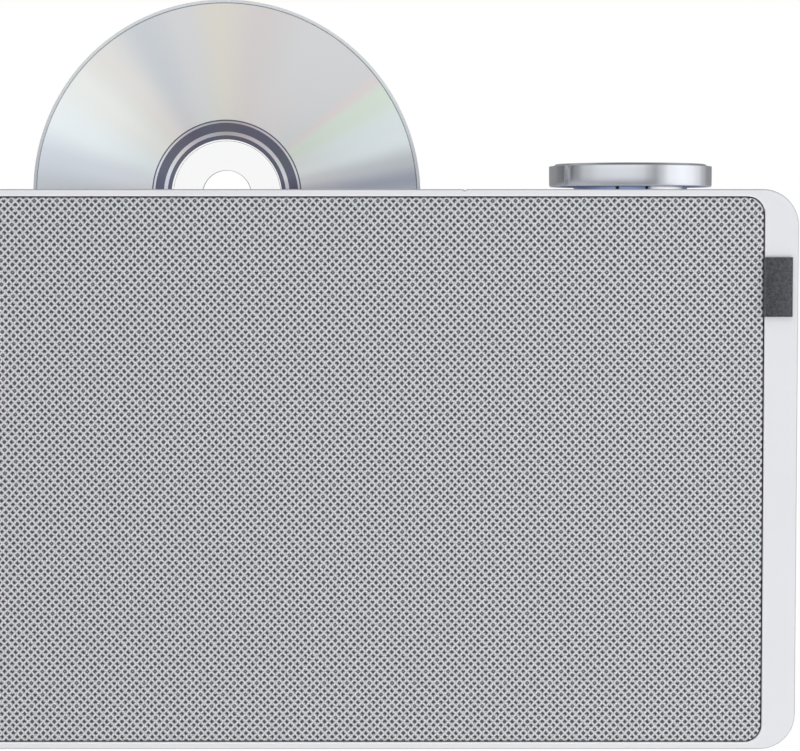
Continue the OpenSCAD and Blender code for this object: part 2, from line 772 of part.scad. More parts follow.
// ---------- knob and encoder ----------
module encoder_body() {
    color("dimgray") on_top(knob_x, disc_z) difference() {
        union() {
            translate([-7, -7, -16]) cube([14, 14, 16 - skin - touch_gap]);
            translate([0, 0, -skin - 1]) cylinder(h = skin + 1.8, r = bush_r);
        }
        translate([0, 0, sleeve_low - knob_push - 0.5]) cylinder(h = 30, r = plunger_d / 2 + run_gap);
        translate([0, 0, sleeve_low - knob_push - 0.5]) cylinder(h = 5.5 + knob_push, r = 3.9);
    }
}

module encoder_sleeve() {
    color("white") on_top(knob_x, disc_z) difference() {
        translate([0, 0, sleeve_low]) cylinder(h = 4, r = 3.85);
        translate([0, 0, sleeve_top - 3.4]) cylinder(h = 4, r = 1.5 + run_gap);
    }
}

module encoder_shaft() {
    color("silver") on_top(knob_x, disc_z) difference() {
        union() {
            translate([0, 0, sleeve_top + 0.1])
                cylinder(h = knob_gap + 4.5 - sleeve_top, r = plunger_d / 2);
            translate([0, 0, sleeve_top - 3.3]) cylinder(h = 4, r = 1.5);
        }
        translate([1.5, -4, knob_gap - 0.2]) cube([4, 8, 10]);
    }
}

module knob_core() {
    color("black") on_top(knob_x, disc_z) difference() {
        translate([0, 0, knob_gap + 0.4]) cylinder(h = 5, r = core_d / 2);
        difference() {
            translate([0, 0, knob_gap - 1]) cylinder(h = 5.7, r = plunger_d / 2 + 0.02);
            translate([1.52, -4, knob_gap - 2]) cube([4, 8, 10]);
        }
    }
}

module knob() {
    r = knob_d / 2;
    floor_z = knob_gap + 2.2;
    top = knob_gap + knob_side + knob_cham;
    color("silver") on_top(knob_x, disc_z) rotate_extrude() polygon([
        [0, top], [r - knob_step - 0.5, top], [r - knob_step, top - knob_cham + 0.2],
        [r - 0.15, top - knob_cham + 0.03], [r, top - knob_cham - 0.12], [r, knob_gap + 0.2],
        [r - 0.2, knob_gap],
        [recess_d / 2, knob_gap], [recess_d / 2, floor_z], [core_d / 2 + 1.6, floor_z],
        [core_d / 2 + 1.6, knob_gap + 0.4], [core_d / 2 + 0.02, knob_gap + 0.4],
        [core_d / 2 + 0.02, knob_gap + 5.42], [0, knob_gap + 5.42]
    ]);
}

// ---------- disc ----------
module disc() {
    half = disc_t / 2;
    color("silver") front() translate([disc_x, disc_y, disc_z]) rotate_extrude() polygon([
        [disc_bore / 2, -half], [16.6, -half], [16.6, -half - 0.15], [17.4, -half - 0.15], [17.4, -half],
        [disc_r - 0.1, -half], [disc_r, 0.1 - half], [disc_r, half - 0.1], [disc_r - 0.1, half],
        [disc_bore / 2, half]
    ]);
}

// ---------- slot drive ----------
module at_disc() {
    translate([disc_x, 0, 0]) children();
}

// one side of the chassis, seen along X, between its back and front edges
module side_sheet(s) {
    x0 = s > 0 ? side_in : -side_in - sheet_t;
    block(x0, x0 + sheet_t, tray_low, tray_top, tray_z, side_front);
}

module drive_chassis() {
    color("lightsteelblue") at_disc() difference() {
        union() {
            block(-side_in - sheet_t, side_in + sheet_t, tray_low, tray_top, tray_z, tray_z + sheet_t);
            for (s = [-1, 1]) side_sheet(s);
            for (s = [-1, 1], y = [tab_top, tab_low]) slab(side_front - sheet_t, side_front)
                translate([s * (side_in + 7), y]) rounded(14 + 2 * sheet_t, 13, 3);
            // posts that guide the traverse, with shoulders that it rests on
            for (i = [-1, 1], j = [-1, 1]) {
                drum(i * post_dx, load_y + j * post_dy, tray_z + 0.5, disc_z - 3, shaft_r);
                drum(i * post_dx, load_y + j * post_dy, tray_z + 0.5, plate_z, 3);
            }
            // bracket of the loading motor
            block(motor_plate_x, motor_plate_x + sheet_t, pinion_y - 9, pinion_y + 6,
                roller_z - 8, roller_z + 8);
            block(motor_plate_x, -side_in, pinion_y - 9, pinion_y - 9 + sheet_t, roller_z - 8, roller_z + 8);
        }
        for (s = [-1, 1], y = [tab_top, tab_low])
            drum(s * tab_x, y, side_front - 5, side_front + 5, 4);
        rod_x(-side_in - 9, side_in + 9, roller_y, roller_z, shaft_r + run_gap);
        rod_x(-side_in - 9, side_in + 9, pivot_y, pivot_z, 1.25 + 0.02);
        rod_x(-side_in - 9, -side_in + 9, idler_y, roller_z, 1.52);
        rod_x(motor_plate_x - 1, motor_plate_x + 3, pinion_y, roller_z, 2.5);
        // window of the sled and its rods in the left side, and lightening holes in the tray
        block(-side_in - 3, -side_in + 1, load_y - 24, load_y + 24, tray_z + sheet_t, disc_z - 2);
        slab(tray_z - 1, tray_z + 2) {
            for (i = [-1, 1], y = [load_y - 55, load_y + 58]) translate([i * 30, y]) rounded(46, 14, 5);
            translate([0, load_y]) rounded(88, 52, 8);
        }
        block(side_in - 1, side_in + 3, load_y - 20, load_y + 20, tray_z + 8, disc_z);
    }
}

module chassis_grommets() {
    color("black") for (s = [-1, 1], y = [tab_top, tab_low])
        front() translate([disc_x + s * tab_x, y, side_front - sheet_t - 1.5]) rotate_extrude() polygon([
            [1.7, 0], [5, 0], [5, 1.45], [3.95, 1.45], [3.95, 1.55 + sheet_t], [5, 1.55 + sheet_t],
            [5, 3 + sheet_t], [1.7, 3 + sheet_t]
        ]);
}

module chassis_screws() {
    color("silver") for (s = [-1, 1], y = [tab_top, tab_low]) {
        z0 = side_front - sheet_t - 1.5;
        drum(disc_x + s * tab_x, y, z0 - 2, z0, 3.6);
        drum(disc_x + s * tab_x, y, z0 - 0.5, side_front + 9, screw_r);
    }
}

module disc_guide() {
    rail_out = side_in - touch_gap;
    rail_in = disc_r + 1;
    bar_low = roller_y - 8;
    bar_top = roller_y + 7;
    rail_low = load_y - 18;
    color("ivory") at_disc() union() {
        // bar in front of the roller, with a relieved middle that never touches the disc
        difference() {
            block(-rail_out, rail_out, bar_low, bar_top, disc_face + 0.35, disc_face + 2.6);
            front() translate([0, roller_y, disc_face]) rotate([90, 0, 0])
                translate([-40, 0, -20]) cube([80, 1, 40]);
        }
        for (s = [-1, 1]) {
            x0 = s > 0 ? rail_in : -rail_out;
            block(x0, x0 + rail_out - rail_in, rail_low, bar_top, disc_rear - 0.2, disc_face + 2.6);
            block(s > 0 ? rail_in - 2.5 : -rail_in - 0.1, s > 0 ? rail_in + 0.1 : -rail_in + 2.5,
                rail_low, bar_low + 1, disc_face + 0.35, disc_face + 2.6);
            // the rear lips end above the lens, which passes here at the outermost track
            block(s > 0 ? rail_in - 2.5 : -rail_out, s > 0 ? rail_out : -rail_in + 2.5,
                load_y + 5, bar_low - 2, disc_rear - 2.2, disc_rear - 0.35);
        }
    }
}

module loading_roller() {
    half = disc_r - 2;
    color("black") at_disc() translate([0, -roller_z, roller_y]) rotate([0, 90, 0])
        rotate_extrude() polygon([
            [shaft_r + 0.02, -half], [roller_r, -half], [roller_r, -half + 6], [roller_r - 0.8, -4],
            [roller_r - 0.8, 4], [roller_r, half - 6], [roller_r, half], [shaft_r + 0.02, half]
        ]);
}

module roller_shaft() {
    color("silver") rod_x(gear_x - 0.5, disc_x + side_in + sheet_t + 1.5, roller_y, roller_z, shaft_r);
}

module train_gear(n, y, bore_r, turn) {
    translate([gear_x, -roller_z, y]) gear(n, bore_r, turn);
}

module roller_gear() {
    color("white") train_gear(roller_teeth, roller_y, shaft_r + 0.02, 0);
}

module idler_gear() {
    color("white") train_gear(idler_teeth, idler_y, shaft_r + run_gap, 90 + 180 / idler_teeth);
}

module idler_stud() {
    color("silver") union() {
        rod_x(gear_x - 1, disc_x - side_in, idler_y, roller_z, shaft_r);
        rod_x(gear_x + gear_w + 0.2, disc_x - side_in - sheet_t, idler_y, roller_z, 2.4);
        rod_x(gear_x - 1, gear_x - 0.3, idler_y, roller_z, 2.6);
    }
}

module motor_pinion() {
    color("gold") union() {
        train_gear(pinion_teeth, pinion_y, 0.9, 0);
        rod_x(disc_x + motor_plate_x - 6, gear_x + gear_w, pinion_y, roller_z, 1);
    }
}

module loading_motor() {
    x1 = disc_x + motor_plate_x;
    color("gray") difference() {
        union() {
            rod_x(x1 - 18, x1, pinion_y, roller_z, 7);
            rod_x(x1 - 19.5, x1 - 17, pinion_y, roller_z, 2.5);
            rod_x(x1 - 1, x1 + 0.9, pinion_y, roller_z, 2.4);
        }
        rod_x(x1 - 8, x1 + 3, pinion_y, roller_z, 1 + run_gap);
    }
}

// ---------- traverse ----------

module traverse_frame() {
    color("dimgray") at_disc() difference() {
        union() {
            slab(plate_z, plate_z + 2) translate([0, load_y]) rounded(2 * post_dx + 14, 2 * post_dy + 12, 5);
            // arms that carry the outer ends of the rods through the side window
            for (s = [-1, 1])
                block(-arm_out, -post_dx, load_y + (s > 0 ? 14.5 : -22.5), load_y + (s > 0 ? 22.5 : -14.5),
                    plate_z, plate_z + 2);
            for (x = [-arm_out, 2], s = [-1, 1])
                block(x, x + 3.5, load_y + s * rod_dy - 3, load_y + s * rod_dy + 3, rod_z - 3, plate_z + 1);
            block(-side_in + 1, -side_in + 4, screw_y - 3, screw_y + 3, rod_z - 3, plate_z + 1);
        }
        drum(0, load_y, plate_z - 1, plate_z + 3, can_r + hole_gap);
        block(-arm_out - 1, -can_r - 2.4, load_y - 14.5, load_y + 14.5, plate_z - 1, plate_z + 3);
        block(-11.5, 8, screw_y - 5.5, screw_y + 5.5, plate_z - 1, plate_z + 3);
        for (i = [-1, 1], j = [-1, 1])
            drum(i * post_dx, load_y + j * post_dy, plate_z - 1, plate_z + 3, shaft_r + run_gap);
        for (s = [-1, 1]) rod_x(-arm_out - 1, 9, load_y + s * rod_dy, rod_z, shaft_r + 0.02);
        rod_x(-side_in - 5, -side_in + 5, screw_y, rod_z, shaft_r + run_gap);
        slab(plate_z - 1, plate_z + 3) translate([38, load_y]) rounded(22, 40, 5);
    }
}

module spindle_motor() {
    color("gray") front() translate([disc_x, load_y, 0]) rotate_extrude() polygon([
        [1 + run_gap, plate_z - 4], [2.6, plate_z - 4], [2.6, plate_z - 6], [can_r, plate_z - 6],
        [can_r, plate_z - 1], [can_r + 2, plate_z - 1], [can_r + 2, plate_z], [can_r, plate_z],
        [can_r, seat_z - 3], [1 + run_gap, seat_z - 3]
    ]);
}

module sled_rods() {
    color("silver") for (s = [-1, 1])
        rod_x(disc_x - arm_out, disc_x + 5.5, load_y + s * rod_dy, rod_z, shaft_r);
}

module sled_motor() {
    color("gray") difference() {
        rod_x(disc_x - 11, disc_x + 7, screw_y, rod_z, 4.8);
        rod_x(disc_x - 12, disc_x - 4, screw_y, rod_z, shaft_r + run_gap);
    }
}

module lead_screw() {
    color("silver") rod_x(disc_x - side_in + 1.5, disc_x - 4.5, screw_y, rod_z, shaft_r);
}

module turntable() {
    color("dimgray") front() translate([disc_x, load_y, 0]) rotate_extrude() polygon([
        [0, plate_z - 3.5], [1, plate_z - 3.5], [1, seat_z - 2.6], [4, seat_z - 2.6], [15, seat_z - 2],
        [15, seat_z], [12, seat_z], [12, seat_z - 0.4], [9, seat_z - 0.4], [7.2, seat_z - 0.4],
        [7.2, seat_z + 1.1], [6.4, seat_z + hub_h], [3, seat_z + hub_h], [2.4, seat_z + hub_h - 0.6],
        [0, seat_z + hub_h - 0.6]
    ]);
}

module laser_sled() {
    color("dimgray") difference() {
        union() {
            block(lens_x - 10, lens_x + 7, load_y - 22, load_y + 22, rod_z - 2.6, plate_z - 0.3);
            block(lens_x - 6, lens_x + 6, load_y - 11, load_y + 11, rod_z, disc_z - 5.3);
            block(lens_x + 1, lens_x + 7, screw_y - 3, load_y - 20, rod_z - 2.6, rod_z + 2.1);
        }
        for (s = [-1, 1]) rod_x(lens_x - 11, lens_x + 8, load_y + s * rod_dy, rod_z, shaft_r + run_gap);
        rod_x(lens_x, lens_x + 8, screw_y, rod_z, shaft_r + run_gap);
        drum(lens_x, load_y, disc_z - 7, disc_z, 3.6);
    }
}

module lens() {
    color("lightblue") drum(lens_x, load_y, disc_z - 7, disc_z - 4.6, 3.3);
}

// ---------- clamp ----------
module clamp_open_pose() {
    front() translate([disc_x, pivot_y, pivot_z]) rotate([clamp_open, 0, 0])
        translate([0, -pivot_y, -pivot_z]) children();
}

module clamp_arm() {
    reach = load_y + 18;
    color("lightsteelblue") clamp_open_pose() difference() {
        union() {
            translate([0, 0, arm_z]) linear_extrude(sheet_t) union() {
                polygon([[-21.2, pivot_y - 4], [21.2, pivot_y - 4], [21.2, pivot_y + 14], [10, load_y - 8],
                    [10, reach], [-10, reach], [-10, load_y - 8], [-21.2, pivot_y + 14]]);
                translate([0, load_y]) circle(13);
            }
            for (s = [-1, 1]) translate([s > 0 ? 20 : -21.2, pivot_y - 4, pivot_z - 3])
                cube([sheet_t, 12, arm_z - pivot_z + 3.5]);
        }
        translate([0, load_y, arm_z - 1]) cylinder(h = 5, r = 3.1);
        translate([-30, pivot_y, pivot_z]) rotate([0, 90, 0]) cylinder(h = 60, r = 1.25 + run_gap);
        translate([0, (pivot_y + load_y) / 2, arm_z - 1]) linear_extrude(5) rounded(10, 22, 4);
    }
}

module clamp_puck() {
    z0 = disc_face + touch_gap;
    color("dimgray") clamp_open_pose() translate([0, load_y, 0]) rotate_extrude() polygon([
        [0, z0 + 2], [7.6, z0 + 2], [7.6, z0], [15, z0], [15, z0 + 2.5], [13, z0 + 4], [3, z0 + 4],
        [3, arm_z + sheet_t + 0.3], [5, arm_z + sheet_t + 0.3], [5, arm_z + sheet_t + 1.8],
        [0, arm_z + sheet_t + 1.8]
    ]);
}

module clamp_pin() {
    half = side_in + sheet_t + 0.4;
    color("silver") at_disc() rod_x(-half, half, pivot_y, pivot_z, 1.25);
}

wall_bracket();
housing_band();
slot_panel();
slot_felts();
knob_collar();
baffle();
grille_frame();
grille_cloth();
side_tag();
rear_cover();
rear_screws();
power_inlet();
inlet_pins();
aux_jack();
wall_bumpers();
main_board();
power_supply();
amp_heatsink();
key_board();
encoder_body();
encoder_sleeve();
drive_chassis();
chassis_grommets();
chassis_screws();
disc_guide();
loading_motor();
idler_stud();
clamp_pin();
port_tube();
speaker_frame_left();
speaker_frame_right();
speaker_magnet_left();
speaker_magnet_right();
surround_left();
surround_right();
cone_left();
cone_right();
disc();
loading_roller();
roller_shaft();
roller_gear();
idler_gear();
motor_pinion();
traverse_frame();
spindle_motor();
sled_rods();
sled_motor();
turntable();
laser_sled();
lens();
lead_screw();
clamp_arm();
clamp_puck();
encoder_shaft();
knob_core();
knob();
key_power();
key_source();
key_play();
key_eject();
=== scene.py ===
"""Looks of a wall-hung disc player: the cloth, the disc, the knob, the tag and every finish."""

import json
import math

import bpy
from bpy.props import FloatProperty, FloatVectorProperty, IntProperty, PointerProperty
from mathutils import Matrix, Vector


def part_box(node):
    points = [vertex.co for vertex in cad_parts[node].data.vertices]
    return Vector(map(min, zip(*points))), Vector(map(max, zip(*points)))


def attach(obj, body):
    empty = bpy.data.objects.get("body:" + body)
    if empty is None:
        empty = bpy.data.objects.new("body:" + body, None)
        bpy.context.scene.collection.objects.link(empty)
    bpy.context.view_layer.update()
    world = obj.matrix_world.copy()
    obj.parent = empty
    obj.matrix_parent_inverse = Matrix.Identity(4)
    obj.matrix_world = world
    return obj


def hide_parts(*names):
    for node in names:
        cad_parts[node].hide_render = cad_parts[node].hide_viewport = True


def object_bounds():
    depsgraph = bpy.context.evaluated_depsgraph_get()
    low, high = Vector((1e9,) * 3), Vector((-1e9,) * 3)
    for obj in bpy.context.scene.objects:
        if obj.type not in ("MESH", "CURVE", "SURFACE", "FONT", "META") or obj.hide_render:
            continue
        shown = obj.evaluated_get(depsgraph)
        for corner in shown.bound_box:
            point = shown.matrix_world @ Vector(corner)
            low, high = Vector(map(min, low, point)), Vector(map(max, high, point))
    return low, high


bl_info = {
    "name": "Cloth-Fronted Disc Player",
    "version": (1, 0, 0),
    "blender": (4, 5, 0),
    "location": "View3D > Sidebar > Disc Player",
    "description": "Gives the disc player its cloth, disc, knob, finishes and studio",
    "category": "Object",
}

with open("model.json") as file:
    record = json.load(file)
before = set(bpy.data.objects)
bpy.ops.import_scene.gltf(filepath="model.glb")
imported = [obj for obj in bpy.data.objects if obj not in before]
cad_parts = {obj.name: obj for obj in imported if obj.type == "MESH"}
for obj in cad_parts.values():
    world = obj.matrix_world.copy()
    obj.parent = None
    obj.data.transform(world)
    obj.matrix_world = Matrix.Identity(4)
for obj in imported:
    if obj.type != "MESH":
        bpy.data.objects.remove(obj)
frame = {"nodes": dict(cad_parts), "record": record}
CAD_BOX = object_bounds()
NODES = frame["nodes"]
SLOT_OF = {part["node"]: part["material_slot"] for part in frame["record"]["subparts"]}
MM = 0.001


def low(node):
    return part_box(node)[0]


def high(node):
    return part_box(node)[1]


def middle(node):
    return (low(node) + high(node)) / 2


def paint(red, green, blue):
    """A colour as it looks on screen, from 0 to 255, as the linear colour that a node takes."""
    def linear(value):
        share = value / 255
        return share / 12.92 if share <= 0.04045 else ((share + 0.055) / 1.055) ** 2.4
    return (linear(red), linear(green), linear(blue), 1.0)


# ---------- sizes and colours that a user would change ----------
COLOUR = {"subtype": "COLOR", "size": 3, "min": 0, "max": 1}
FINE_LENGTH = {"unit": "LENGTH", "precision": 5}


class PlayerStageSettings(bpy.types.PropertyGroup):
    """The camera of the photograph, the floor and the lamps"""

    camera_place: FloatVectorProperty(
        name="Camera Place", description="Where the camera stands",
        default=(0.15997, -0.71296, 0.03519), subtype="TRANSLATION", unit="LENGTH")
    camera_pitch: FloatProperty(
        name="Camera Pitch", description="How far the camera looks down", default=math.radians(4.103),
        subtype="ANGLE")
    focal_pixels: FloatProperty(
        name="Focal Length", description="Focal length in pixels of the picture", default=2125.7)
    picture_width: IntProperty(name="Picture Width", description="Width of the picture in pixels",
                               default=800, subtype="PIXEL")
    principal_x: FloatProperty(
        name="Principal Column", description="Column of the picture that the lens points at",
        default=547.6)
    floor_drop: FloatProperty(name="Floor Drop", description="Height of the player above the floor",
                              default=0.9, unit="LENGTH", subtype="DISTANCE")
    floor_colour: FloatVectorProperty(
        name="Floor Colour", description="Colour of the floor", default=(0.86, 0.86, 0.87), **COLOUR)
    fill: FloatProperty(
        name="Fill", description="Strength of the light from all round", default=0.5, min=0)
    key: FloatProperty(name="Key Lamp", description="Power of the large lamp at the lower right",
                       default=12.0, min=0, unit="POWER")
    side: FloatProperty(name="Side Lamp", description="Power of the broad lamp at the right",
                        default=15.0, min=0, unit="POWER")
    top: FloatProperty(name="Top Lamp", description="Power of the lamp above", default=10.0, min=0,
                       unit="POWER")


class PlayerClothSettings(bpy.types.PropertyGroup):
    """The grille cloth and the side tag"""

    hole_pitch_x: FloatProperty(
        name="Hole Pitch Across", description="Distance between holes of one row", default=2.217 * MM,
        **FINE_LENGTH)
    hole_pitch_z: FloatProperty(
        name="Hole Pitch Up", description="Distance between every second row", default=2.305 * MM,
        **FINE_LENGTH)
    lattice_x: FloatProperty(name="Lattice X", description="Place of one hole across the front",
                             default=0.08966, **FINE_LENGTH)
    lattice_z: FloatProperty(
        name="Lattice Z", description="Height of the same hole", default=-0.01721, **FINE_LENGTH)
    thread: FloatVectorProperty(
        name="Thread", description="Colour of the cloth's threads", default=paint(232, 234, 238)[:3],
        **COLOUR)
    hole: FloatVectorProperty(name="Hole", description="Colour seen in the cloth's holes",
                              default=paint(70, 71, 76)[:3], **COLOUR)
    cloth_thickness: FloatProperty(
        name="Cloth Thickness", description="Thickness of the grille cloth", default=0.5 * MM,
        **FINE_LENGTH)
    tag: FloatVectorProperty(
        name="Tag", description="Colour of the side tag", default=paint(80, 81, 86)[:3], **COLOUR)
    tag_layer: FloatProperty(name="Tag Layer", description="Thickness of one layer of the side tag",
                             default=0.4 * MM, **FINE_LENGTH)


class PlayerFinishSettings(bpy.types.PropertyGroup):
    """Colours of the housing, the knob and the disc"""

    housing: FloatVectorProperty(
        name="Housing", description="Colour of the housing band", default=paint(232, 233, 237)[:3],
        **COLOUR)
    knob: FloatVectorProperty(name="Knob", description="Colour of the brushed knob",
                              default=paint(214, 217, 223)[:3], **COLOUR)
    collar: FloatVectorProperty(
        name="Collar", description="Colour of the collar under the knob",
        default=paint(160, 177, 212)[:3], **COLOUR)
    disc: FloatVectorProperty(name="Disc", description="Colour of the disc's silver",
                              default=paint(220, 221, 223)[:3], **COLOUR)
    disc_steps: IntProperty(
        name="Disc Steps", description="Faces round the disc", default=192, min=48)
    knob_steps: IntProperty(
        name="Knob Steps", description="Faces round the knob", default=160, min=48)


# ---------- modelling by hand ----------
def deselect():
    if bpy.context.mode != "OBJECT":
        bpy.ops.object.mode_set(mode="OBJECT")
    bpy.ops.object.select_all(action="DESELECT")


def begin(add, name, **where):
    """Adds a primitive with all else deselected, names it and settles its place into its mesh."""
    deselect()
    add(**where)
    piece = bpy.context.active_object
    piece.name = piece.data.name = name
    settle(piece)
    return piece


def pick(piece):
    """Makes the piece the only one selected, and the active one."""
    deselect()
    piece.select_set(True)
    bpy.context.view_layer.objects.active = piece


def settle(piece):
    """Puts the object's place, turn and scale into its mesh."""
    pick(piece)
    bpy.ops.object.transform_apply(location=True, rotation=True, scale=True)


def edit(piece, kind):
    """Opens the piece in edit mode, with all of it selected."""
    pick(piece)
    bpy.ops.object.mode_set(mode="EDIT")
    bpy.ops.mesh.select_mode(type=kind)
    bpy.ops.mesh.select_all(action="SELECT")


def leave(angle=None):
    """Back to object mode, with shading smooth up to this angle in degrees."""
    bpy.ops.object.mode_set(mode="OBJECT")
    if angle is not None:
        bpy.ops.object.shade_smooth_by_angle(angle=math.radians(angle))


def extrude(*run):
    """Extrudes what is selected by this run."""
    bpy.ops.mesh.extrude_region_move(TRANSFORM_OT_translate={"value": run})


def turn_outwards():
    """Turns all normals outwards and goes back to object mode."""
    bpy.ops.mesh.select_all(action="SELECT")
    bpy.ops.mesh.normals_make_consistent(inside=False)
    leave()


def choose(piece, kind, test):
    """Selects vertices by their place and normal, or edges by their middle and run."""
    bpy.ops.mesh.select_all(action="DESELECT")
    bpy.ops.object.mode_set(mode="OBJECT")
    mesh = piece.data
    if kind == "EDGE":
        for edge in mesh.edges:
            first, second = (mesh.vertices[i].co for i in edge.vertices)
            edge.select = test((first + second) / 2, second - first)
    else:
        for vertex in mesh.vertices:
            vertex.select = test(vertex.co, vertex.normal)
    bpy.ops.object.mode_set(mode="EDIT")
    bpy.ops.mesh.select_mode(type=kind)


def modify(piece, kind, **values):
    """Adds a modifier with these values and applies it."""
    pick(piece)
    modifier = piece.modifiers.new(kind.title(), kind)
    for key, value in values.items():
        setattr(modifier, key, value)
    bpy.ops.object.modifier_apply(modifier=modifier.name)


def lathe(name, outline, steps):
    """Turns a closed outline of (radius, height) points, in mm, about Z, ring by ring."""
    outline = [(radius * MM, height * MM) for radius, height in outline]
    radius, height = outline[0]
    piece = begin(bpy.ops.mesh.primitive_circle_add, name, vertices=steps, radius=radius,
                  location=(0, 0, height))
    edit(piece, "EDGE")
    for next_radius, next_height in outline[1:] + outline[:1]:
        extrude(0, 0, next_height - height)
        grow = next_radius / radius
        bpy.ops.transform.resize(value=(grow, grow, 1), center_override=(0, 0, next_height))
        radius, height = next_radius, next_height
    bpy.ops.mesh.select_all(action="SELECT")
    bpy.ops.mesh.remove_doubles(threshold=0.002 * MM)
    turn_outwards()
    return piece


def lay(piece, place, turn=(0, 0, 0), scale=(1, 1, 1)):
    """Scales a mesh, turns it and moves it to its place."""
    piece.scale, piece.rotation_euler, piece.location = scale, turn, place
    settle(piece)


def hand_in(piece, body, slot, *stands_for):
    """Rides the piece on its body and hides the CAD nodes that it stands for.

    A piece without a material gets its slot's finish.
    """
    if not piece.data.materials:
        dress(piece, material_for(slot))
    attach(piece, body)
    if stands_for:
        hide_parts(*stands_for)


# ---------- node trees ----------
class Value:
    """A node's output. A sum such as a * b + c makes the math nodes that it needs."""

    def __init__(self, net, socket):
        self.net, self.socket = net, socket

    def __add__(self, other):
        return self.net.calc("ADD", self, other)

    def __sub__(self, other):
        return self.net.calc("SUBTRACT", self, other)

    def __rsub__(self, other):
        return self.net.calc("SUBTRACT", other, self)

    def __mul__(self, other):
        return self.net.calc("MULTIPLY", self, other)

    def __truediv__(self, other):
        return self.net.calc("DIVIDE", self, other)

    def __neg__(self):
        return self * -1.0

    def __abs__(self):
        return self.net.calc("ABSOLUTE", self)

    def __floor__(self):
        return self.net.calc("FLOOR", self)


class Net:
    """A node tree, with short calls that add a node, set it and give its output."""

    def __init__(self, tree):
        self.tree = tree
        self.tree.nodes.clear()

    def plug(self, socket, value):
        if isinstance(value, Value):
            self.tree.links.new(value.socket, socket)
        else:
            socket.default_value = value

    def add(self, kind, inputs=None, **settings):
        node = self.tree.nodes.new("ShaderNode" + kind)
        for key, value in settings.items():
            setattr(node, key, value)
        for key, value in (inputs or {}).items():
            self.plug(node.inputs[key], value)
        return node

    def out(self, kind, output, inputs=None, **settings):
        """Adds a node and gives one output of it."""
        return Value(self, self.add(kind, inputs, **settings).outputs[output])

    def end(self, kind, shader):
        """Sends a shader node to the tree's output."""
        self.tree.links.new(shader.outputs[0], self.add(kind).inputs[0])

    def calc(self, operation, *values):
        return self.out("Math", 0, dict(enumerate(values)), operation=operation)

    def vector(self, operation, *values):
        output = "Value" if operation == "LENGTH" else "Vector"
        return self.out("VectorMath", output, dict(enumerate(values)), operation=operation)

    def length(self, x, y):
        return self.vector("LENGTH", self.join(x, y, 0.0))

    def shaded(self, colour, share):
        """The colour times a share between black and itself."""
        return self.vector("MULTIPLY", colour, self.join(share, share, share))

    def blend(self, share, first, second):
        inputs = {0: share}
        for index, value in ((6, first), (7, second)):
            inputs[index] = (*value, 1.0) if isinstance(value, tuple) and len(value) == 3 else value
        return self.out("Mix", 2, inputs, data_type="RGBA")

    def step(self, value, start, end):
        """0 up to start and 1 from end on, smooth between them."""
        return self.out("MapRange", "Result", {"Value": value, "From Min": start, "From Max": end},
                        interpolation_type="SMOOTHSTEP")

    def noise(self, vector, scale, detail=3.0, roughness=0.5):
        return self.out("TexNoise", "Fac", {"Vector": vector, "Scale": scale, "Detail": detail,
                                            "Roughness": roughness})

    def split(self, vector):
        return [Value(self, socket) for socket in self.add("SeparateXYZ", {0: vector}).outputs]

    def join(self, x, y, z):
        return self.out("CombineXYZ", 0, {0: x, 1: y, 2: z})

    def ramp(self, value, stops, steps=False):
        node = self.add("ValToRGB", {"Fac": value})
        line = node.color_ramp
        line.interpolation = "CONSTANT" if steps else "EASE"
        line.elements[0].position, line.elements[0].color = stops[0]
        line.elements[-1].position, line.elements[-1].color = stops[-1]
        for place, colour in stops[1:-1]:
            line.elements.new(place).color = colour
        return Value(self, node.outputs["Color"])

    def moved(self, vector, place=(0, 0, 0), turn=(0, 0, 0)):
        """The vector as measured from this place, turned."""
        return self.out(
            "Mapping", 0, {"Vector": vector, "Location": [-c for c in place], "Rotation": turn})

    def around(self, x, y):
        """The turn from x towards y as a share of the round, where 0.5 looks along x."""
        return self.calc("ARCTAN2", y, x) * (0.5 / math.pi) + 0.5


def shared(name, inputs, outputs):
    """Makes build(net, *inputs) a function that gives one node group for all materials."""
    def decorate(build):
        def group():
            if name in bpy.data.node_groups:
                return bpy.data.node_groups[name]
            tree = bpy.data.node_groups.new(name, "ShaderNodeTree")
            for way, labels in (("INPUT", inputs), ("OUTPUT", outputs)):
                for label in labels:
                    kind = "NodeSocketVector" if label == "Vector" else "NodeSocketFloat"
                    tree.interface.new_socket(name=label, in_out=way, socket_type=kind)
            net = Net(tree)
            entry = tree.nodes.new("NodeGroupInput")
            leaving = tree.nodes.new("NodeGroupOutput")
            made = build(net, *(Value(net, entry.outputs[label]) for label in inputs))
            for label, value in zip(outputs, made):
                net.plug(leaving.inputs[label], value)
            return tree
        return group
    return decorate


@shared("Fine Grain", ("Vector", "Scale", "Mottle"), ("Tone", "Height"))
def grain_group(net, vector, scale, mottle):
    """Fine grain of a moulded, cast or painted skin."""
    broad = net.noise(vector, scale * 0.04, 2.0)
    return (broad - 0.5) * mottle + 1.0, net.noise(vector, scale, 4.0, 0.6)


@shared("Handling", ("Vector", "Roughness", "Amount"), ("Roughness", "Specks"))
def handling_group(net, vector, roughness, amount):
    """Faint smudges and dust, as a change of roughness and a mask."""
    smudge = net.step(net.noise(vector, 34.0, 5.0, 0.62), 0.42, 0.72)
    speck = net.step(net.noise(vector, 900.0, 2.0, 0.7), 0.66, 0.78)
    return smudge * amount + roughness, speck * amount


@shared("Brushed Lines", ("Vector", "Lines"), ("Streak",))
def brushed_group(net, vector, lines):
    """Fine lines along the first axis of the vector."""
    x, y, z = net.split(vector)
    along = net.join(x * 0.012, y, z)
    coarse = net.noise(along, lines * 0.21, 2.0, 0.5)
    return (coarse * 0.4 + net.noise(along, lines, 3.0, 0.75) * 0.6,)


